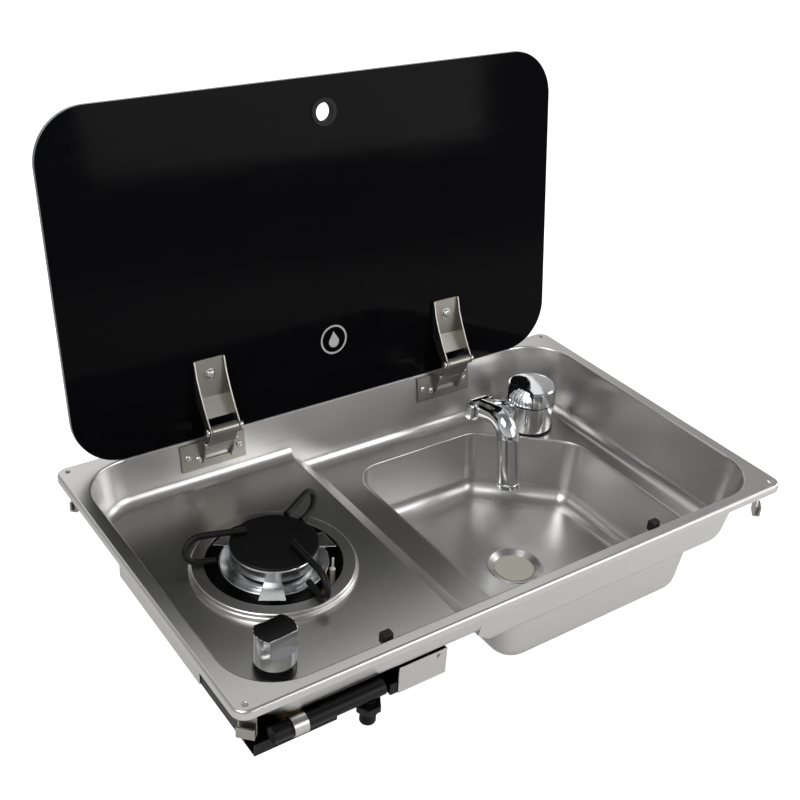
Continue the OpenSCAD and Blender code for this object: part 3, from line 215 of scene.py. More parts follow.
colour = add(tree, "ShaderNodeValToRGB", {}, {"Fac": grain.outputs["Fac"]})
colour.color_ramp.elements[0].position = 0.3
colour.color_ramp.elements[0].color = srgb("#cdccca")
colour.color_ramp.elements[1].position = 0.7
colour.color_ramp.elements[1].color = srgb("#d1d0ce")
tree.links.new(colour.outputs["Color"], shader.inputs["Base Color"])
# The drawn sheet is never quite flat: shallow waves some 90 mm long
bump = add(tree, "ShaderNodeBump", {"Strength": 0.15, "Distance": 0.0003},
           {"Height": cloud.outputs["Fac"]})
tree.links.new(bump.outputs["Normal"], shader.inputs["Normal"])

tray = merged("top_tray")
# The step falls from the hob floor to the deck; its two long bends are rounded
hob, deck = -47.99, -67.99
step_head, step_foot = -58, -33
unpicked()
for edge in tray.data.edges:
    ends = [tray.data.vertices[k].co / MM for k in edge.vertices]
    edge.select = (ends[0] - ends[1]).length > 60 and all(
        (abs(end.x - step_head) < 0.4 and abs(end.z - hob) < 0.05)
        or (abs(end.x - step_foot) < 0.4 and abs(end.z - deck) < 0.05) for end in ends)
bpy.ops.object.mode_set(mode="EDIT")
bpy.ops.mesh.bevel(offset=2 * MM, segments=4, affect="EDGES")
bpy.ops.object.mode_set(mode="OBJECT")
settle(tray, 0.35, 3, 30)
carry(tray, "unit", "stainless", steel, "top_tray")

# ---- Sink bowl
# Drawn from the same sheet and welded under the deck's opening; satin inside.
# The weld is ground to a rounded bead along the bowl's edge.
def seat(piece, middle=(0, 0, 0), turn=(0, 0, 0)):
    """Puts a piece in its place and applies that place to its mesh; turn in degrees."""
    alone(piece)
    piece.location = [v * MM for v in middle]
    piece.rotation_euler = [radians(a) for a in turn]
    bpy.ops.object.transform_apply(location=True, rotation=True, scale=True)


def joined(piece, *others):
    """Joins other objects into a piece."""
    alone(piece)
    for other in others:
        other.select_set(True)
    bpy.ops.object.join()
    return piece


def wire(name, points, radius, closed=False):
    """Rod of round section along a line of points in mm."""
    bpy.ops.curve.primitive_bezier_curve_add(location=(0, 0, 0))
    rod = bpy.context.object
    rod.data.splines.clear()
    line = rod.data.splines.new("POLY")
    line.points.add(len(points) - 1)
    for point, spot in zip(line.points, points):
        point.co = [v * MM for v in spot] + [1]
    line.use_cyclic_u = closed
    rod.data.dimensions = "3D"
    rod.data.bevel_depth = radius * MM
    rod.data.bevel_resolution = 6
    rod.data.use_fill_caps = not closed
    alone(rod)
    bpy.ops.object.convert(target="MESH")
    rod = bpy.context.object
    rod.name = name
    bpy.ops.object.mode_set(mode="EDIT")
    bpy.ops.mesh.select_all(action="SELECT")
    bpy.ops.mesh.remove_doubles(threshold=0.002 * MM)
    bpy.ops.mesh.normals_make_consistent(inside=False)
    bpy.ops.object.mode_set(mode="OBJECT")
    seat(rod)
    return rod


bowl = merged("sink_bowl")
settle(bowl, 0.3, 3, 30)
# Centres of the arcs that round the bowl's corners; the cut-off corner has two
bowl_r, arc_left, arc_right, arc_front, arc_back = 32, 29, 216, -109, 95
cut_x, cut_y = 146.745, 36.745
lean = degrees(atan2(arc_right - cut_x, arc_back - cut_y))
arc_r, arc_steps = bowl_r + 0.2, 16
edge_line = []
for x, y, start, stop in ((arc_left, arc_front, 180, 270), (arc_right, arc_front, 270, 360),
                          (arc_right, cut_y, 0, lean), (cut_x, arc_back, lean, 90),
                          (arc_left, arc_back, 90, 180)):
    for k in range(arc_steps + 1):
        turn = radians(start + (stop - start) * k / arc_steps)
        edge_line.append((x + arc_r * cos(turn), y + arc_r * sin(turn), deck - 0.75))
bead = wire("bead", edge_line, 1.6, closed=True)
settle(bead, 0, sharp=60)
joined(bowl, bead)
carry(bowl, "unit", "stainless", steel, "sink_bowl")


# ---- Waste of the bowl
# Pressed steel seat with a pale plastic plug, clamped through the bowl by a white plastic nut
# over a rubber seal; the spigot below takes the waste hose.
def turned(name, outline, middle=(0, 0, 0), turn=(0, 0, 0), steps=96, edge=0.25, sharp=32):
    """Round part: a circle drawn out along an outline of (radius, height) pairs."""
    size, level = outline[0]
    size = max(size, 0.001)
    bpy.ops.mesh.primitive_circle_add(vertices=steps, radius=size * MM, location=(0, 0, 0))
    piece = bpy.context.object
    piece.name = name
    bpy.ops.object.mode_set(mode="EDIT")
    bpy.ops.mesh.select_all(action="SELECT")
    bpy.ops.transform.translate(value=(0, 0, level * MM))
    for wide, high in outline[1:]:
        wide = max(wide, 0.001)
        bpy.ops.mesh.extrude_region_move(
            TRANSFORM_OT_translate={"value": (0, 0, (high - level) * MM)})
        bpy.ops.transform.resize(value=(wide / size, wide / size, 1), center_override=(0, 0, 0))
        size, level = wide, high
    bpy.ops.mesh.select_all(action="SELECT")
    bpy.ops.mesh.remove_doubles(threshold=0.003 * MM)
    bpy.ops.mesh.normals_make_consistent(inside=False)
    bpy.ops.object.mode_set(mode="OBJECT")
    if edge is not None:
        settle(piece, edge, 3, sharp)
    seat(piece, middle, turn)
    return piece


waste = (114, -16, -141.99)
flange = turned("waste_flange_piece", [
    (30, 0), (30, 0.4), (29.2, 0.8), (28, 0.8), (20.5, -4), (20.5, -26), (22.1, -26), (22.1, -6),
    (27.3, -0.9), (27.3, 0), (30, 0)], waste)
carry(flange, "unit", "stainless", steel, "waste_flange")


def skin(tree, shader, pattern, strength, depth, smooth, dull):
    """Lets a pattern dent the surface, depth in mm, and vary its roughness."""
    bump = add(tree, "ShaderNodeBump", {"Strength": strength, "Distance": depth * MM},
               {"Height": pattern.outputs["Fac"]})
    tree.links.new(bump.outputs["Normal"], shader.inputs["Normal"])
    rough = add(tree, "ShaderNodeMapRange", {"To Min": smooth, "To Max": dull},
                {"Value": pattern.outputs["Fac"]})
    tree.links.new(rough.outputs[0], shader.inputs["Roughness"])


# Pale polypropylene: matt, with a fine moulded grain of about 0.6 mm
pale, tree, shader, coords = finish("Pale grey polypropylene", Base_Color=srgb("#cfcdc0"),
                                    Roughness=0.42)
pores = add(tree, "ShaderNodeTexNoise", {"Scale": 1600, "Detail": 2}, {"Vector": coords})
skin(tree, shader, pores, 0.15, 0.04, 0.36, 0.5)

plug = turned("waste_plug_piece", [
    (0, -3), (12, -3), (12.6, -3.25), (13.4, -3.25), (14, -3), (20.96, -3), (21.14, -3.4),
    (20.2, -4), (20.2, -7), (0, -7)], waste, edge=0.15)
carry(plug, "plug", "grey_plastic", pale, "waste_plug")

# EPDM rubber: deep grey, dull, with a fine uneven skin of about 0.9 mm
rubber, tree, shader, coords = finish("Black rubber", Base_Color=srgb("#161616"), Roughness=0.65,
                                      Specular_IOR_Level=0.35)
pits = add(tree, "ShaderNodeTexNoise", {"Scale": 1100, "Detail": 3}, {"Vector": coords})
skin(tree, shader, pits, 0.3, 0.06, 0.55, 0.78)

gasket = turned("waste_seal_piece", [(27.6, -3.4), (32, -3.4), (32, -0.9), (27.6, -0.9),
                                     (27.6, -3.4)], waste, edge=0.4)
carry(gasket, "unit", "rubber", rubber, "waste_seal")

# White polypropylene of the plumbing: slightly glossy, with faint sink marks some 4 mm apart
plumbing, tree, shader, coords = finish("White polypropylene", Base_Color=srgb("#dadad6"),
                                        Roughness=0.38)
waves = add(tree, "ShaderNodeTexNoise", {"Scale": 260, "Detail": 1}, {"Vector": coords})
skin(tree, shader, waves, 0.1, 0.2, 0.32, 0.46)

nut = merged("waste_nut")
settle(nut, 0.8, 3)
carry(nut, "unit", "white_plastic", plumbing, "waste_nut")

# The hose tail has three shallow barbs
tail = [(12.5 - 0.5 * (k % 2), -33 - 3 * k) for k in range(8)]
spigot = turned("waste_spigot_piece", [
    (22.2, -18), (24.3, -18), (24.3, -28), (12.5, -32), *tail, (12.5, -56), (10.3, -56),
    (10.3, -31), (19.9, -26), (22.2, -26), (22.2, -18)], waste, edge=0.3, sharp=25)
carry(spigot, "unit", "white_plastic", plumbing, "waste_spigot")

# ---- Gas burner
# A bright trim ring over a black enamelled well; in it a dished aluminium base, the stepped head
# with three sloping spokes, and a black cap that lifts off.
burner = (-163, 8, 0)
ring_top = hob + 7
well = hob - 16
head_foot = hob - 0.5
cap_foot = hob + 25
ring = turned("burner_trim_ring_piece", [
    (63, ring_top - 0.8), (63, ring_top), (74, ring_top), (75, ring_top - 0.8),
    (75.6, ring_top - 3), (76.8, ring_top - 4), (77.4, hob), (76.2, hob),
    (75.6, ring_top - 5), (74.2, ring_top - 3.6), (73.6, ring_top - 0.8),
    (63, ring_top - 0.8)], burner, steps=128, edge=0.3, sharp=20)
carry(ring, "unit", "stainless", steel, "burner_trim_ring")

# Vitreous enamel: satin black glass fired on steel, with a gentle orange peel of about 1.5 mm
enamel, tree, shader, coords = finish("Satin black enamel", Base_Color=srgb("#0a0a0b"),
                                      Roughness=0.4, Specular_IOR_Level=0.25)
peel = add(tree, "ShaderNodeTexNoise", {"Scale": 650, "Detail": 2}, {"Vector": coords})
skin(tree, shader, peel, 0.12, 0.1, 0.36, 0.5)


def cut(piece, *tools):
    """Cuts the shapes of some tools out of a piece and removes the tools."""
    alone(piece)
    for tool in tools:
        gap = piece.modifiers.new("gap", "BOOLEAN")
        gap.operation = "DIFFERENCE"
        gap.solver = "EXACT"
        gap.object = tool
        bpy.ops.object.modifier_apply(modifier="gap")
        bpy.data.objects.remove(tool)


def drill(radius, low, high, middle, turn=(0, 0, 0), steps=32):
    """Round tool for cut, from low to high along its axis."""
    return turned("tool", [(0, low), (radius, low), (radius, high), (0, high)], middle, turn,
                  steps, edge=None)


pit = turned("burner_well_piece", [
    (68, ring_top - 1.1), (62.2, ring_top - 1.1), (61, hob - 4), (54, well + 1), (31, well + 1),
    (31, well), (54.6, well), (61.9, hob - 4.3), (63, ring_top - 2), (68, ring_top - 2),
    (68, ring_top - 1.1)], burner, steps=128, edge=None)
probe_r = 53.5
probe_at, spark_at = [(burner[0] + probe_r * cos(turn), burner[1] + probe_r * sin(turn), 0)
                      for turn in (radians(-62), radians(-38))]
cut(pit, drill(3.2, well - 1, well + 9, probe_at), drill(3.2, well - 1, well + 9, spark_at))
settle(pit, 0.4, 3, 20)
carry(pit, "unit", "enamel", enamel, "burner_well")

# Cast and turned aluminium: bright, with the lathe's fine rings; the real 0.2 mm feed marks are
# drawn 0.7 mm apart, and the casting skin adds soft patches
alloy, tree, shader, coords = finish("Turned aluminium", Base_Color=srgb("#d6d7d8"), Metallic=1,
                                     Roughness=0.22)
centred = add(tree, "ShaderNodeMapping", {
    "Location": (-burner[0] * MM, -burner[1] * MM, 0), "Scale": (1, 1, 0)}, {"Vector": coords})
radius = add(tree, "ShaderNodeVectorMath", {}, {0: centred.outputs[0]}, operation="LENGTH")
phase = add(tree, "ShaderNodeMath", {1: 2 * pi / (0.7 * MM)}, {0: radius.outputs["Value"]},
            operation="MULTIPLY")
lathe = add(tree, "ShaderNodeMath", {}, {0: phase.outputs[0]}, operation="SINE")
patch = add(tree, "ShaderNodeTexNoise", {"Scale": 60, "Detail": 3}, {"Vector": coords})
bump = add(tree, "ShaderNodeBump", {"Strength": 0.06, "Distance": 0.00003},
           {"Height": lathe.outputs[0]})
tree.links.new(bump.outputs["Normal"], shader.inputs["Normal"])
rough = add(tree, "ShaderNodeMapRange", {"To Min": 0.15, "To Max": 0.32},
            {"Value": patch.outputs["Fac"]})
tree.links.new(rough.outputs[0], shader.inputs["Roughness"])

dish = turned("burner_base_piece", [
    (8, well + 1), (34, well + 1), (35, hob - 4), (49, ring_top - 1.4), (50, ring_top - 0.8),
    (50, ring_top + 0.2), (49, ring_top + 0.6), (40.5, hob + 0.8), (37, head_foot),
    (8, head_foot), (8, well + 1)], burner, steps=128, edge=0.5, sharp=20)
carry(dish, "unit", "alloy", alloy, "burner_base")

head = turned("burner_head_piece", [
    (0, head_foot + 14), (8, head_foot + 14), (8, head_foot), (37, head_foot), (36, hob + 3),
    (33.5, hob + 4.5), (33.5, hob + 11.5), (38.6, hob + 12.2), (39.6, hob + 13.4),
    (40, cap_foot - 1.4), (39.2, cap_foot), (0, cap_foot)], edge=None, steps=144)
# One flame port is cut out, at the right end of the head
bpy.ops.mesh.primitive_cube_add(size=1, location=(34 * MM, 0, (hob + 8) * MM),
                                scale=(8 * MM, 1.6 * MM, 6 * MM))
cut(head, bpy.context.object)
settle(head, 0.35, 3, 25)
head.data.materials.append(alloy)
head.data.materials.append(enamel)
# The band in which the flame ports lie gets the black enamel: painted shade for the deep ports, of
# which only one is cut
for face in head.data.polygons:
    x, y, z = face.center / MM
    face.material_index = int(hypot(x, y) < 34.5 and hob + 4.4 < z < hob + 11.6)

# Spoke: a block drawn out to a wide lip and tapered, then copied to three places
bpy.ops.mesh.primitive_cube_add(size=1, location=(34 * MM, 0, (hob + 12.4) * MM),
                                scale=(2 * MM, 14 * MM, 3 * MM))
spoke = bpy.context.object
bpy.ops.object.transform_apply(location=True, rotation=True, scale=True)
unpicked()
for face in spoke.data.polygons:
    face.select = face.normal.x > 0.9
bpy.ops.object.mode_set(mode="EDIT")
bpy.ops.mesh.extrude_region_move(TRANSFORM_OT_translate={"value": (22.5 * MM, 0, -4.2 * MM)})
bpy.ops.transform.resize(value=(1, 24 / 14, 0.6), center_override=(57.5 * MM, 0, (hob + 8.2) * MM))
bpy.ops.mesh.extrude_region_move(TRANSFORM_OT_translate={"value": (1 * MM, 0, -0.15 * MM)})
bpy.ops.object.mode_set(mode="OBJECT")
settle(spoke, 0.45, 3)
spoke.data.materials.append(alloy)
spokes = []
for k in range(3):
    copy = spoke.copy()
    copy.data = spoke.data.copy()
    scene.collection.objects.link(copy)
    seat(copy, turn=(0, 0, -121 + 120 * k))
    spokes.append(copy)
bpy.data.objects.remove(spoke)
joined(head, *spokes)
seat(head, burner)
carry(head, "unit", "alloy", None, "burner_head")

cap = turned("burner_cap_piece", [
    (0, cap_foot), (39.7, cap_foot), (40.5, cap_foot + 0.8), (40.5, cap_foot + 2.4),
    (39.9, cap_foot + 3), (0, cap_foot + 3)], burner, steps=128, edge=None)
cut(cap, drill(2.2, cap_foot + 2.4, cap_foot + 4, (burner[0] - 30, burner[1] + 3, 0), steps=24),
    drill(2.2, cap_foot + 2.4, cap_foot + 4, (burner[0] + 28.5, burner[1] + 1.5, 0), steps=24))
settle(cap, 0.3, 3, 25)
carry(cap, "burner_cap", "enamel", enamel, "burner_cap")

# Glazed porcelain of the spark plug: glossy, off-white, with faint mottling of about 1 mm
porcelain, tree, shader, coords = finish("White porcelain", Base_Color=srgb("#e4e0d4"),
                                         Roughness=0.22, Coat_Weight=0.4)
speck = add(tree, "ShaderNodeTexNoise", {"Scale": 900, "Detail": 2}, {"Vector": coords})
colour = add(tree, "ShaderNodeValToRGB", {}, {"Fac": speck.outputs["Fac"]})
colour.color_ramp.elements[0].color = srgb("#d8d3c5")
colour.color_ramp.elements[1].color = srgb("#ebe8de")
tree.links.new(colour.outputs["Color"], shader.inputs["Base Color"])

# Raw brass: warm yellow metal with the uneven stain of handling, in patches some 8 mm across
brass, tree, shader, coords = finish("Raw brass", Base_Color=srgb("#c9a35e"), Metallic=1,
                                     Roughness=0.3)
stain = add(tree, "ShaderNodeTexNoise", {"Scale": 130, "Detail": 4}, {"Vector": coords})
colour = add(tree, "ShaderNodeValToRGB", {}, {"Fac": stain.outputs["Fac"]})
colour.color_ramp.elements[0].position = 0.35
colour.color_ramp.elements[0].color = srgb("#b58e4c")
colour.color_ramp.elements[1].position = 0.65
colour.color_ramp.elements[1].color = srgb("#d2ae6c")
tree.links.new(colour.outputs["Color"], shader.inputs["Base Color"])
rough = add(tree, "ShaderNodeMapRange", {"To Min": 0.22, "To Max": 0.42},
            {"Value": stain.outputs["Fac"]})
tree.links.new(rough.outputs[0], shader.inputs["Roughness"])

# The spark plug's ceramic stands in the well and ends in a thin wire; the thermocouple beside it
# is a stepped brass rod
spark = turned("igniter_electrode_piece", [
    (0, well - 8), (2.8, well - 8), (2.8, well + 1), (2.4, well + 1.6), (2.8, well + 2.2),
    (2.8, hob + 3), (1, hob + 3), (1, hob + 15), (0, hob + 15)],
    spark_at, steps=32, edge=0.3)
carry(spark, "unit", "ceramic", porcelain, "igniter_electrode")
probe = turned("thermocouple_piece", [
    (0, well - 8), (2.8, well - 8), (2.8, hob - 4), (1.6, hob - 4), (1.6, hob + 9),
    (1.35, hob + 9.6), (1.35, hob + 15), (0, hob + 15)],
    probe_at, steps=32, edge=0.3)
carry(probe, "unit", "brass", brass, "thermocouple")
jet = merged("injector")
settle(jet, 0.25)
carry(jet, "unit", "brass", brass, "injector")

# ---- Pan support
# Three rods of 6.2 mm steel wire, bent back on themselves in hairpins and enamelled black.
# They lie over the cap and on the trim ring, and lift off together.
rod_r = 3.1
rod_up = cap_foot + 3 + rod_r + 0.05
rod_low = ring_top + rod_r + 0.05
half = (rod_up + rod_low) / 2
routes = (
    ((-16, 23, rod_up), (-48, 33.5, rod_up), (-62, 36.5, rod_up - 1.5), (-71, 34, half + 2),
     (-71, 29, half - 5), (-63, 27, rod_low + 0.6), (-47, 21.5, rod_low)),
    ((27.5, 26.5, rod_up), (52, 42, rod_up), (64, 50, rod_up - 1.5), (72, 54, half + 2),
     (73, 52, half - 5), (66, 46, rod_low + 0.6), (49, 36, rod_low)),
    ((11.5, -13, rod_up), (11.5, -48, rod_up), (11.5, -64, rod_up - 1.5), (10.5, -74, half + 2),
     (9, -76, half - 5), (8, -68, rod_low + 0.25), (8.5, -46.5, rod_low + 1)))


def between(a, b, c, d, t):
    """Point on a smooth curve from b to c."""
    return [0.5 * (2 * q + (r - p) * t + (2 * p - 5 * q + 4 * r - s) * t * t
                   + (3 * q - 3 * r + s - p) * t ** 3) for p, q, r, s in zip(a, b, c, d)]


rods = []
for route in routes:
    points = [between(route[max(k - 1, 0)], route[k], route[k + 1],
                      route[min(k + 2, len(route) - 1)], j / 10)
              for k in range(len(route) - 1) for j in range(10)] + [list(route[-1])]
    rod = wire("rod", [[v + c for v, c in zip(spot, burner)] for spot in points], rod_r)
    settle(rod, 0.7, 3, 60)
    rods.append(rod)
support = joined(*rods)
support.name = "pan_support_rods_piece"
carry(support, "pan_support", "enamel", enamel, "pan_support_rods")

# ---- Gas knob
# Chromed knob with a flat on each side and a black plate let into its top, in a glossy black
# barrel; it is pushed in and turned.
knob_at, knob_turn = (-227, -107, 0), (0, 0, 94)
knob_low = hob + 11.5
knob_high = hob + 42
# Chrome plate: almost a mirror, with the faint haze of fingerprints, some 8 mm across
chrome, tree, shader, coords = finish("Bright chrome plate", Base_Color=srgb("#e6e7e9"),
                                      Metallic=1, Roughness=0.06)
haze = add(tree, "ShaderNodeTexNoise", {"Scale": 120, "Detail": 4, "Roughness": 0.6},
           {"Vector": coords})
rough = add(tree, "ShaderNodeMapRange", {"From Min": 0.35, "From Max": 0.7, "To Min": 0.035,
                                         "To Max": 0.11}, {"Value": haze.outputs["Fac"]})
tree.links.new(rough.outputs[0], shader.inputs["Roughness"])
# Glossy black ABS: deep black moulding with a very slight ripple of about 3 mm
gloss, tree, shader, coords = finish("Gloss black ABS", Base_Color=srgb("#060607"),
                                     Roughness=0.12, Specular_IOR_Level=0.2)
ripple = add(tree, "ShaderNodeTexNoise", {"Scale": 320, "Detail": 1}, {"Vector": coords})
skin(tree, shader, ripple, 0.05, 0.1, 0.09, 0.2)


def slab(width, depth, low, high, x=0, y=0):
    """Square tool for cut, upright between two heights."""
    bpy.ops.mesh.primitive_cube_add(size=1, location=(x * MM, y * MM, (low + high) / 2 * MM),
                                    scale=(width * MM, depth * MM, (high - low) * MM))
    bpy.ops.object.transform_apply(location=True, rotation=True, scale=True)
    return bpy.context.object


def flats(piece, gap, low, high):
    """Cuts away all that lies further than gap from the middle plane X = 0, on both sides."""
    cut(piece, slab(20, 60, low, high, gap + 10), slab(20, 60, low, high, -gap - 10))


knob = turned("gas_knob_piece", [
    (0, hob + 24.3), (3.06, hob + 24.3), (3.06, knob_low + 5.5), (17.3, knob_low + 5.5),
    (17.3, knob_low), (18, knob_low), (18, knob_high), (0, knob_high)], steps=128, edge=None)
pocket = turned("tool", [(0, knob_high - 1.2), (17.35, knob_high - 1.2), (17.35, knob_high + 1),
                         (0, knob_high + 1)], steps=128, edge=None)
flats(pocket, 11.6, knob_high - 3, knob_high + 3)
flats(knob, 12.25, knob_high - 17, knob_high + 3)
cut(knob, pocket)
settle(knob, 0.25)
seat(knob, knob_at, knob_turn)
carry(knob, "gas_knob", "chrome", chrome, "gas_knob")

plate = turned("knob_inlay_piece", [(0, knob_high - 1.2), (17.3, knob_high - 1.2),
                                    (17.3, knob_high - 0.1), (0, knob_high - 0.1)],
               steps=128, edge=None)
flats(plate, 11.55, knob_high - 3, knob_high + 3)
settle(plate, 0.2)
seat(plate, knob_at, knob_turn)
carry(plate, "gas_knob", "black_plastic", gloss, "knob_inlay")

barrel = turned("knob_bezel_piece", [
    (4, hob), (18.1, hob), (18.4, hob + 0.5), (18.4, hob + 3), (18.1, hob + 5.5),
    (17.6, hob + 7.4), (17, hob + 8.6), (17, hob + 13.5), (15, hob + 13.5), (15, hob + 2),
    (4, hob + 2), (4, hob)], knob_at, edge=0.25)
carry(barrel, "unit", "black_plastic", gloss, "knob_bezel")

# ---- Gas valve, rail and union
# Brass valve below the knob, with its spindle and return spring; a pipe leads to the injector.
# The black rail in front is held by a bent strap, closed by two plugs and fed from below.
for node, edge in (("valve_spindle", 0.3), ("gas_valve", 0.4)):
    piece = merged(node)
    settle(piece, edge)
    carry(piece, "spindle" if node == "valve_spindle" else "unit", "brass", brass, node)
pipe = merged("feed_pipe")
settle(pipe, 0, sharp=50)
carry(pipe, "unit", "alloy", alloy, "feed_pipe")

# Bright pressed and zinc plated steel: satin, with rolling lines some 0.4 mm apart along X, and
# a slightly patchy sheen
bright, tree, shader, coords = finish("Satin plated steel", Base_Color=srgb("#c9c8c5"),
                                      Metallic=1, Roughness=0.24)
stretch = add(tree, "ShaderNodeMapping", {"Scale": (60, 2600, 2600)}, {"Vector": coords})
lines = add(tree, "ShaderNodeTexNoise", {"Scale": 1, "Detail": 2}, {"Vector": stretch.outputs[0]})
patch = add(tree, "ShaderNodeTexNoise", {"Scale": 70, "Detail": 3}, {"Vector": coords})
sheen = add(tree, "ShaderNodeMath", {}, {0: lines.outputs["Fac"], 1: patch.outputs["Fac"]},
            operation="ADD")
rough = add(tree, "ShaderNodeMapRange", {"From Min": 0.7, "From Max": 1.3, "To Min": 0.17,
                                         "To Max": 0.31}, {"Value": sheen.outputs[0]})
tree.links.new(rough.outputs[0], shader.inputs["Roughness"])
bump = add(tree, "ShaderNodeBump", {"Strength": 0.015, "Distance": 0.00003},
           {"Height": lines.outputs["Fac"]})
tree.links.new(bump.outputs["Normal"], shader.inputs["Normal"])

spring = merged("valve_spring")
settle(spring, 0, sharp=70)
carry(spring, "unit", "steel", bright, "valve_spring")
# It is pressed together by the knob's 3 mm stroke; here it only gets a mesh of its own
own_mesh(spring)

# Black powder coat: satin, with a fine pebbled skin of about 0.7 mm
powder, tree, shader, coords = finish("Black powder coat", Base_Color=srgb("#0c0c0d"),
                                      Roughness=0.4, Specular_IOR_Level=0.22)
pebble = add(tree, "ShaderNodeTexNoise", {"Scale": 1500, "Detail": 2}, {"Vector": coords})
skin(tree, shader, pebble, 0.2, 0.05, 0.3, 0.48)

rail_at, rail_length = (-262, -164, -55), 103
rail = turned("gas_rail_piece", [(5.8, 0), (7, 0), (7, rail_length), (5.8, rail_length), (5.8, 0)],
              rail_at, (0, 90, 0), steps=64, edge=0.35)
carry(rail, "unit", "black_steel", powder, "gas_rail")
stop = [(0, 1.4), (1.6, 1.4), (2, 0.6), (4.4, 0.6), (5.2, 0), (5.8, 0), (5.8, 5), (0, 5)]
plugs = joined(*[turned("rail_end_plug", stop, (rail_at[0] + along, *rail_at[1:]), (0, turn, 0),
                        steps=48, edge=0.15) for along, turn in ((0, 90), (rail_length, -90))])
plugs.name = "rail_end_plugs_piece"
carry(plugs, "unit", "black_steel", powder, "rail_end_plugs")

strap = merged("saddle_clamp")
settle(strap, 0.3, 3, 30)
carry(strap, "unit", "steel", bright, "saddle_clamp")


def cross_head(name, outline, cut_from, cut_to, arm=1.6, wide=0.5):
    """Screw with a cross recess, its head towards +Z."""
    screw = turned(name, outline, steps=48, edge=None)
    cut(screw, slab(2 * arm, 2 * wide, cut_from, cut_to), slab(2 * wide, 2 * arm, cut_from, cut_to))
    settle(screw, 0.12, 2, 30)
    return screw


# The screw's head faces the front
screw = cross_head("clamp_screw_piece", [(0, -4.4), (1.8, -4.4), (1.8, 0), (2.6, 0), (2.6, 1.2),
                                         (2.1, 1.8), (1.2, 2), (0, 2)], 0.9, 3, 1.3, 0.35)
seat(screw, (-239, -158.4, -66.2), (90, 0, 0))
carry(screw, "unit", "steel", bright, "clamp_screw")

# Union: hexagon over a threaded tail, a few turns of the thread drawn as ridges 1.5 mm apart
union_at = (-172, -164, 0)
hexagon = turned("hexagon", [(3, -72), (11.2, -72), (11.547, -71.4), (11.547, -66.1),
                             (11.2, -65.5), (3, -65.5), (3, -72)], union_at, (0, 0, 30), steps=6,
                 edge=0.3)
thread = [spot for k in range(6) for spot in ((7, -85 + 1.5 * k), (6.5, -84.25 + 1.5 * k))]
tail = turned("gas_inlet_piece", [
    (3, -86), (6.5, -86), *thread, (6.8, -75.5), (6.8, -72), (5.5, -72), (5.5, -61.9),
    (3, -61.9), (3, -86)], union_at, steps=64, edge=0.12, sharp=25)
joined(tail, hexagon)
carry(tail, "unit", "black_steel", powder, "gas_inlet")
ring = turned("inlet_seal_piece", [(7.05, -74.5), (9, -74.5), (9, -72), (7.05, -72),
                                   (7.05, -74.5)], union_at, steps=64, edge=0.5)
carry(ring, "unit", "rubber", rubber, "inlet_seal")

# ---- Burner box
# Folded bright sheet sides hang below the hob floor; the black base plate with upturned edges is
# screwed between them.
for node, edge, slot, material in (("burner_box", 0.25, "steel", bright),
                                   ("box_base", 0.25, "black_steel", powder),
                                   ("box_screws", 0.3, "steel", bright)):
    piece = merged(node)
    settle(piece, edge, 3, 30)
    carry(piece, "unit", slot, material, node)

# ---- Tap
# Chromed brass body on a rubber seal, with a side arm that carries the folding spout; the round
# grip on top turns on a brass cartridge. Nut and hose tail are below the deck.
tap = (225, 110, 0)
tap_split = -34
grip_foot = tap_split + 1.2
ring = turned("tap_seal_piece", [(10.3, deck), (28.1, deck), (28.1, -65), (10.3, -65),
                                 (10.3, deck)], tap, edge=0.6)
carry(ring, "unit", "rubber", rubber, "tap_seal")

body = merged("tap_body")
settle(body, 0.6, 3, 30)
body.data.materials.clear()
body.data.materials.append(chrome)
# A gloss black ring in the gap between the body and the grip is painted shade: it darkens the gap
shade = turned("shade", [(9.3, tap_split), (26.3, tap_split), (26.3, tap_split + 1.1),
                         (9.3, tap_split + 1.1), (9.3, tap_split)], tap, edge=0.1)
shade.data.materials.append(gloss)
joined(body, shade)
carry(body, "unit", "chrome", None, "tap_body")

# The scoop is part of a cylinder that stands beside the grip's axis
scoop_r, scoop_out, scoop_turn = 26, 40.5, radians(195)
scoop_x, scoop_y = scoop_out * cos(scoop_turn), scoop_out * sin(scoop_turn)
grip = turned("tap_knob_piece", [
    (0, grip_foot + 8.4), (4.06, grip_foot + 8.4), (4.06, grip_foot), (27, grip_foot),
    (27, grip_foot + 15.4), (26.4, grip_foot + 17), (24.8, grip_foot + 18.2),
    (21, grip_foot + 18.7), (14, grip_foot + 19), (0, grip_foot + 19)], steps=128, edge=None)
cut(grip, drill(scoop_r, grip_foot + 1.2, grip_foot + 25, (scoop_x, scoop_y, 0), steps=128))
settle(grip, 0.4, 3, 25)
grip.data.materials.append(chrome)
grip.data.materials.append(gloss)
for face in grip.data.polygons:
    x, y = face.center.x / MM - scoop_x, face.center.y / MM - scoop_y
    face.material_index = int(abs(hypot(x, y) - scoop_r) < 0.15 and abs(face.normal.z) < 0.4)
# Ribbed core that shows in the scoop: chrome slats on a cone, with a black wall above them
core = turned("core", [(4.1, grip_foot + 0.8), (25.8, grip_foot + 0.8), (25.6, grip_foot + 6.5),
                       (16.5, grip_foot + 15.5), (4.1, grip_foot + 15.5),
                       (4.1, grip_foot + 0.8)], steps=144, edge=None)
unpicked()
for spot in core.data.vertices:
    x, y = spot.co.x / MM, spot.co.y / MM
    slat = round(degrees(atan2(y, x)) / 2.5) % 4
    spot.select = hypot(x, y) > 14 and slat > 1
bpy.ops.object.mode_set(mode="EDIT")
bpy.ops.transform.resize(value=(0.93, 0.93, 1), center_override=(0, 0, 0))
bpy.ops.object.mode_set(mode="OBJECT")
settle(core, 0.15, 2, 30)
core.data.materials.append(chrome)
joined(grip, core)
seat(grip, tap)
carry(grip, "tap_knob", "chrome", None, "tap_knob")

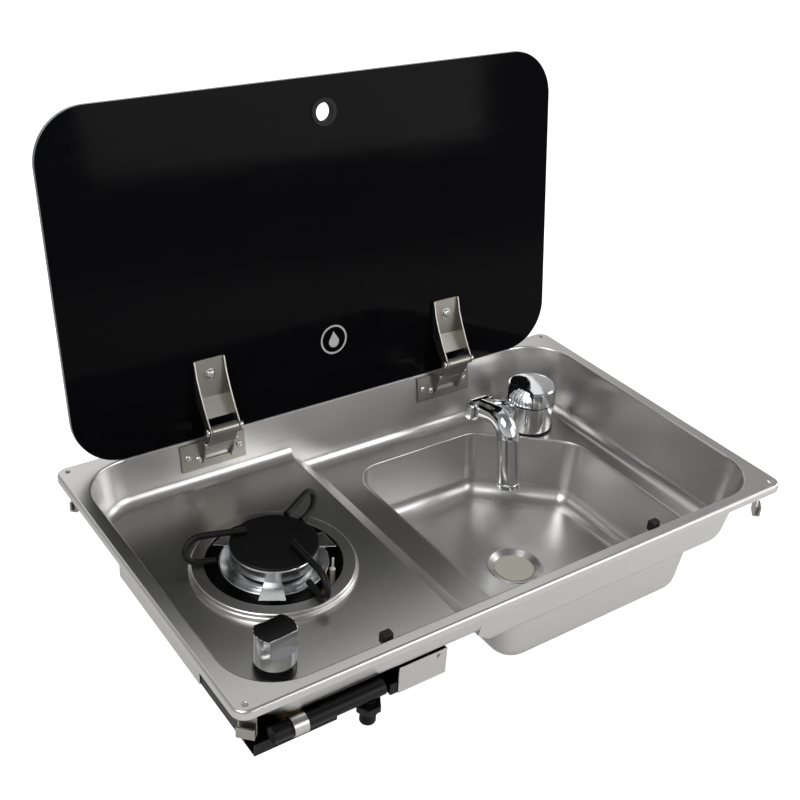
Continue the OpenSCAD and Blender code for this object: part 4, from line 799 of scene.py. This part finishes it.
for node in ("tap_cartridge", "tap_nut", "tap_inlet"):
    piece = merged(node)
    settle(piece, 0.3)
    carry(piece, "unit", "brass", brass, node)

# Spout: a chromed tube, drawn out from the pivot, bent down, widening to its tip
spout_r, reach, bend, spout_foot, bend_steps, widen = 11, 48, 20, -78, 20, 1.006
bpy.ops.mesh.primitive_circle_add(vertices=64, radius=spout_r * MM, fill_type="NGON",
                                  location=(0, 0, 0), rotation=(radians(90), 0, 0))
tube = bpy.context.object
bpy.ops.object.transform_apply(location=True, rotation=True, scale=True)
bpy.ops.object.mode_set(mode="EDIT")
bpy.ops.mesh.select_all(action="SELECT")
bpy.ops.mesh.extrude_region_move(TRANSFORM_OT_translate={"value": (0, (bend - reach) * MM, 0)})
for k in range(1, bend_steps + 1):
    bpy.ops.mesh.extrude_region_move(TRANSFORM_OT_translate={"value": (0, 0, 0)})
    bpy.ops.transform.rotate(value=radians(-90 / bend_steps), orient_axis="X",
                             center_override=(0, (bend - reach) * MM, -bend * MM))
    turn = radians(90 * k / bend_steps)
    bpy.ops.transform.resize(value=(widen, widen, widen), center_override=(
        0, (bend - reach - bend * sin(turn)) * MM, (bend * cos(turn) - bend) * MM))
# A shallow groove runs round the tip
groove = 0.965
level = -bend
for lower, size in ((-71, 1), (-71.5, groove), (-72.3, 1), (-72.8, 1 / groove), (spout_foot, 1)):
    bpy.ops.mesh.extrude_region_move(TRANSFORM_OT_translate={"value": (0, 0, (lower - level) * MM)})
    if size != 1:
        bpy.ops.transform.resize(value=(size, size, 1),
                                 center_override=(0, -reach * MM, lower * MM))
    level = lower
bpy.ops.mesh.inset(thickness=1.5 * MM)
bpy.ops.mesh.extrude_region_move(TRANSFORM_OT_translate={"value": (0, 0, 22 * MM)})
bpy.ops.object.mode_set(mode="OBJECT")
settle(tube, 0.35, 3, 40)
knuckle = turned("knuckle", [(5.05, -11), (11.5, -11), (11.5, 11), (5.05, 11), (5.05, -11)],
                 turn=(0, 90, 0), steps=96, edge=0.8)
spout = joined(tube, knuckle)
pivot_x, pivot_z, spout_lean = 151, -25, -11.5
seat(spout, (pivot_x, tap[1], pivot_z), (spout_lean, 0, 0))
spout.name = "spout_piece"
carry(spout, "spout", "chrome", chrome, "spout")


def tile(name, width, depth, radius, thick, steps=12):
    """Flat plate with round corners, its upper face in the plane Z = 0."""
    bpy.ops.mesh.primitive_plane_add(size=1)
    piece = bpy.context.object
    piece.name = name
    piece.scale = (width * MM, depth * MM, 1)
    bpy.ops.object.transform_apply(location=True, rotation=True, scale=True)
    bpy.ops.object.mode_set(mode="EDIT")
    bpy.ops.mesh.select_all(action="SELECT")
    bpy.ops.mesh.bevel(offset=radius * MM, segments=steps, affect="VERTICES")
    bpy.ops.mesh.select_all(action="SELECT")
    bpy.ops.mesh.extrude_region_move(TRANSFORM_OT_translate={"value": (0, 0, -thick * MM)})
    bpy.ops.mesh.select_all(action="SELECT")
    bpy.ops.mesh.normals_make_consistent(inside=False)
    bpy.ops.object.mode_set(mode="OBJECT")
    return piece


end = tile("spout_cap_piece", 19, 12.5, 4, 5, 8)
settle(end, 1.5, 4)
badge = tile("badge", 12, 6.5, 2, 2, 6)
settle(badge, 0.5, 3)
seat(badge, (0, 0, 0.6))
joined(end, badge)
seat(end, (pivot_x - 16.3, tap[1], pivot_z), (0, -90, 0))
carry(end, "unit", "chrome", chrome, "spout_cap")

# ---- Glass lid
# 5 mm tempered glass, enamelled black behind, with round corners and a ground edge. It stands
# tilted back on two hinges and has a finger hole with a rubber grommet near its free edge.
tilt = radians(8)
# Y and Z of the foot of the glass's front face; turns that point +Z out of either face
lid_foot = (165.168, 1.483)
to_front, to_back = (82, 0, 0), (-98, 0, 0)
# Width and height of the glass, and heights of the holes and the mark above its foot
lid_width, lid_height, finger_up, mark_up, screw_up = 565, 331, 297, 66, 64
hinge_x = 142


def on_lid(x, out, up):
    """Place on the lid: along it, back from its front face, and up the glass."""
    return (x, lid_foot[0] + out * cos(tilt) + up * sin(tilt),
            lid_foot[1] - out * sin(tilt) + up * cos(tilt))


# Black glass: very smooth and dark; its front is a faintly uneven mirror, a little hazed by
# wiping in streaks some 15 mm wide
glass, tree, shader, coords = finish("Black tempered glass", Base_Color=srgb("#08080a"),
                                     Roughness=0.08, Specular_IOR_Level=0.035)
wiped = add(tree, "ShaderNodeMapping", {"Rotation": (0, 0.5, 0), "Scale": (14, 14, 70)},
            {"Vector": coords})
haze = add(tree, "ShaderNodeTexNoise", {"Scale": 1, "Detail": 4}, {"Vector": wiped.outputs[0]})
rough = add(tree, "ShaderNodeMapRange", {"From Min": 0.3, "From Max": 0.7, "To Min": 0.05,
                                         "To Max": 0.12}, {"Value": haze.outputs["Fac"]})
tree.links.new(rough.outputs[0], shader.inputs["Roughness"])
# Ground edge of the glass: pale grey green, matt, with a grit of about 0.6 mm
ground, tree, shader, coords = finish("Ground glass edge", Base_Color=srgb("#6d7371"),
                                      Roughness=0.3)
grit = add(tree, "ShaderNodeTexNoise", {"Scale": 1800, "Detail": 2}, {"Vector": coords})
skin(tree, shader, grit, 0.2, 0.04, 0.22, 0.42)
# Ceramic ink, fired on: light grey, matt, with a grain of about 0.4 mm
ink, tree, shader, coords = finish("Grey ceramic ink", Base_Color=srgb("#b4b5b3"), Roughness=0.5)
dots = add(tree, "ShaderNodeTexNoise", {"Scale": 2600, "Detail": 1}, {"Vector": coords})
colour = add(tree, "ShaderNodeValToRGB", {}, {"Fac": dots.outputs["Fac"]})
colour.color_ramp.elements[0].color = srgb("#a3a4a2")
colour.color_ramp.elements[1].color = srgb("#c1c2c0")
tree.links.new(colour.outputs["Color"], shader.inputs["Base Color"])

pane = tile("lid_glass_piece", lid_width, lid_height, 49, 5, 24)
cut(pane, drill(11.5, -8, 3, (0, finger_up - lid_height / 2, 0), steps=64),
    *[drill(2.6, -8, 3, (x, screw_up - lid_height / 2, 0)) for x in (-hinge_x, hinge_x)])
settle(pane, 0.7, 3, 40)
pane.data.materials.append(glass)
pane.data.materials.append(ground)
for face in pane.data.polygons:
    face.material_index = int(abs(face.normal.z) < 0.93)

# A printed ring with a plain drop in it, 0.05 mm thick
mark = turned("mark", [(13.6, 0), (15.6, 0), (15.6, 0.05), (13.6, 0.05), (13.6, 0)],
              (0, mark_up - lid_height / 2, 0), edge=0)
drop = turned("drop", [(0, 0), (6, 0), (6, 0.05), (0, 0.05)], steps=48, edge=0)
# The disc's top is drawn out to the drop's point
for spot in drop.data.vertices:
    y = spot.co.y / MM
    if y > 3:
        spot.co.x *= max(0, 1 - (y - 3) / 3.4) ** 0.7 if y > 3.2 else 1
        spot.co.y = (3 + (y - 3) * 2.7) * MM
seat(drop, (0, mark_up - lid_height / 2 - 2.5, 0))
for print_part in (mark, drop):
    print_part.data.materials.append(ink)
joined(pane, mark, drop)
seat(pane, on_lid(0, 0, lid_height / 2), to_front)
carry(pane, "lid", "black_glass", None, "lid_glass")

sleeve = turned("finger_grommet_piece", [
    (9, -0.8), (9.8, -1.6), (13, -1.6), (14, -0.8), (14, 0), (11.5, 0), (11.5, 5), (14, 5),
    (14, 5.8), (13, 6.6), (9.8, 6.6), (9, 5.8), (9, -0.8)], on_lid(0, 0, finger_up), to_back,
    steps=72, edge=0.3)
carry(sleeve, "lid", "rubber", rubber, "finger_grommet")

# ---- Lid hinges
# Pressed and bent steel strip. A bracket with two upright flanges is screwed through the glass;
# a leaf with a rolled eye at each end links it to a base on the recess's back wall.
upper_pin, lower_pin = (144, 19), (151.75, 0)  # Y and Z

# Tumbled stainless strip: darker and duller than the top, with a fine even haze of about 1.4 mm
strip, tree, shader, coords = finish("Tumbled stainless strip", Base_Color=srgb("#a09d96"),
                                     Metallic=1, Roughness=0.34)
haze = add(tree, "ShaderNodeTexNoise", {"Scale": 700, "Detail": 2}, {"Vector": coords})
skin(tree, shader, haze, 0.03, 0.03, 0.29, 0.39)

for node, body in (("left_lid_bracket", "lid"), ("right_lid_bracket", "lid"),
                   ("left_hinge_leaf", "leaves"), ("right_hinge_leaf", "leaves"),
                   ("left_hinge_base", "unit"), ("right_hinge_base", "unit")):
    piece = merged(node)
    settle(piece, 0.35, 3, 30)
    middle = -hinge_x if "left" in node else hinge_x
    if body == "unit":
        # Cover plate between the cheeks, in line with the leaf
        cover = slab(29.6, 1.2, -6.5, 6.5)
        settle(cover, 0.3)
        seat(cover, (middle, 156.9, -10.5), (23.4, 0, 0))
        joined(piece, cover)
    if body == "leaves":
        # The eye is rolled twice round the pin
        eye = turned("eye", [(2.6, -14.2), (5, -14.2), (5, 14.2), (2.6, 14.2), (2.6, -14.2)],
                     (middle, *upper_pin), (0, 90, 0), steps=48, edge=0.5)
        joined(piece, eye)
    carry(piece, body, "steel", strip, node)

washers, screws = [], []
for side in (-1, 1):
    hole = on_lid(side * hinge_x, 0, screw_up)
    for near, far, wide in ((-2.5, -1.5, 6), (5, 6, 6.5)):
        washers.append(turned("washer", [(2.6, near), (wide, near), (wide, far), (2.6, far),
                                         (2.6, near)], hole, to_back, steps=48, edge=0.25))
    pan = cross_head("pan_screw", [(0, -9.4), (2.4, -9.4), (2.4, 2.5), (4.4, 2.5), (4.4, 3.4),
                                   (4, 4.3), (3.2, 4.9), (2, 5.1), (0, 5.1)], 3.7, 6, 2, 0.5)
    hexagon = turned("hexagon", [(2.3, -9), (4.7, -9), (5, -8.7), (5, -6.3), (4.7, -6),
                                 (2.3, -6), (2.3, -9)], steps=6, edge=0.2)
    joined(pan, hexagon)
    seat(pan, hole, to_front)
    screws.append(pan)
washers = joined(*washers)
washers.name = "bracket_washers_piece"
carry(washers, "lid", "steel", bright, "bracket_washers")
screws = joined(*screws)
screws.name = "bracket_screws_piece"
carry(screws, "lid", "steel", bright, "bracket_screws")

# Riveted pins: the upper ones turn with the lid, the thin lower ones stay in the bases
upper = joined(*[turned("pin", [
    (0, -19.8), (3, -19.8), (4, -19), (4, -16.8), (2.5, -16.8), (2.5, 16.8), (4, 16.8), (4, 19),
    (3, 19.8), (0, 19.8)], (side * hinge_x, *upper_pin), (0, 90, 0), steps=48, edge=0.5, sharp=25)
    for side in (-1, 1)])
upper.name = "upper_hinge_pins_piece"
carry(upper, "lid", "steel", bright, "upper_hinge_pins")
lower = joined(*[turned("pin", [
    (0, -17.5), (2.4, -17.5), (2.4, -16.3), (1.5, -16.3), (1.5, 16.3), (2.4, 16.3),
    (2.4, 17.5), (0, 17.5)], (side * hinge_x, *lower_pin), (0, 90, 0), steps=40, edge=0.35)
    for side in (-1, 1)])
lower.name = "lower_hinge_pins_piece"
carry(lower, "unit", "steel", bright, "lower_hinge_pins")

wall_lean = tan(radians(10))
screws = []
for side in (-1, 1):
    for x, z in ((-31, -17), (-20, -21), (25, -17)):
        screw = cross_head("base_screw", [(0, 0.3), (1.8, 0.3), (1.8, 1.9), (3.4, 1.9),
                                          (3.3, 2.5), (2.6, 3.3), (1.6, 3.5), (0, 3.5)],
                           2.3, 4, 1.6, 0.4)
        seat(screw, (side * hinge_x + x, 166.5 + z * wall_lean, z), (80, 0, 0))
        screws.append(screw)
screws = joined(*screws)
screws.name = "hinge_base_screws_piece"
carry(screws, "unit", "steel", bright, "hinge_base_screws")

# ---- Buffers and worktop clamps
# Two moulded rubber buffers on the recess's front wall carry the closed glass; hooked steel
# brackets under the rim's corners pull the unit down on the worktop.
buffers = merged("lid_buffers")
settle(buffers, 1.3, 4, 30)
carry(buffers, "unit", "rubber", rubber, "lid_buffers")
clamps = merged("corner_clamps")
settle(clamps, 0.35, 3, 30)
carry(clamps, "unit", "steel", strip, "corner_clamps")

bpy.ops.object.select_all(action="DESELECT")
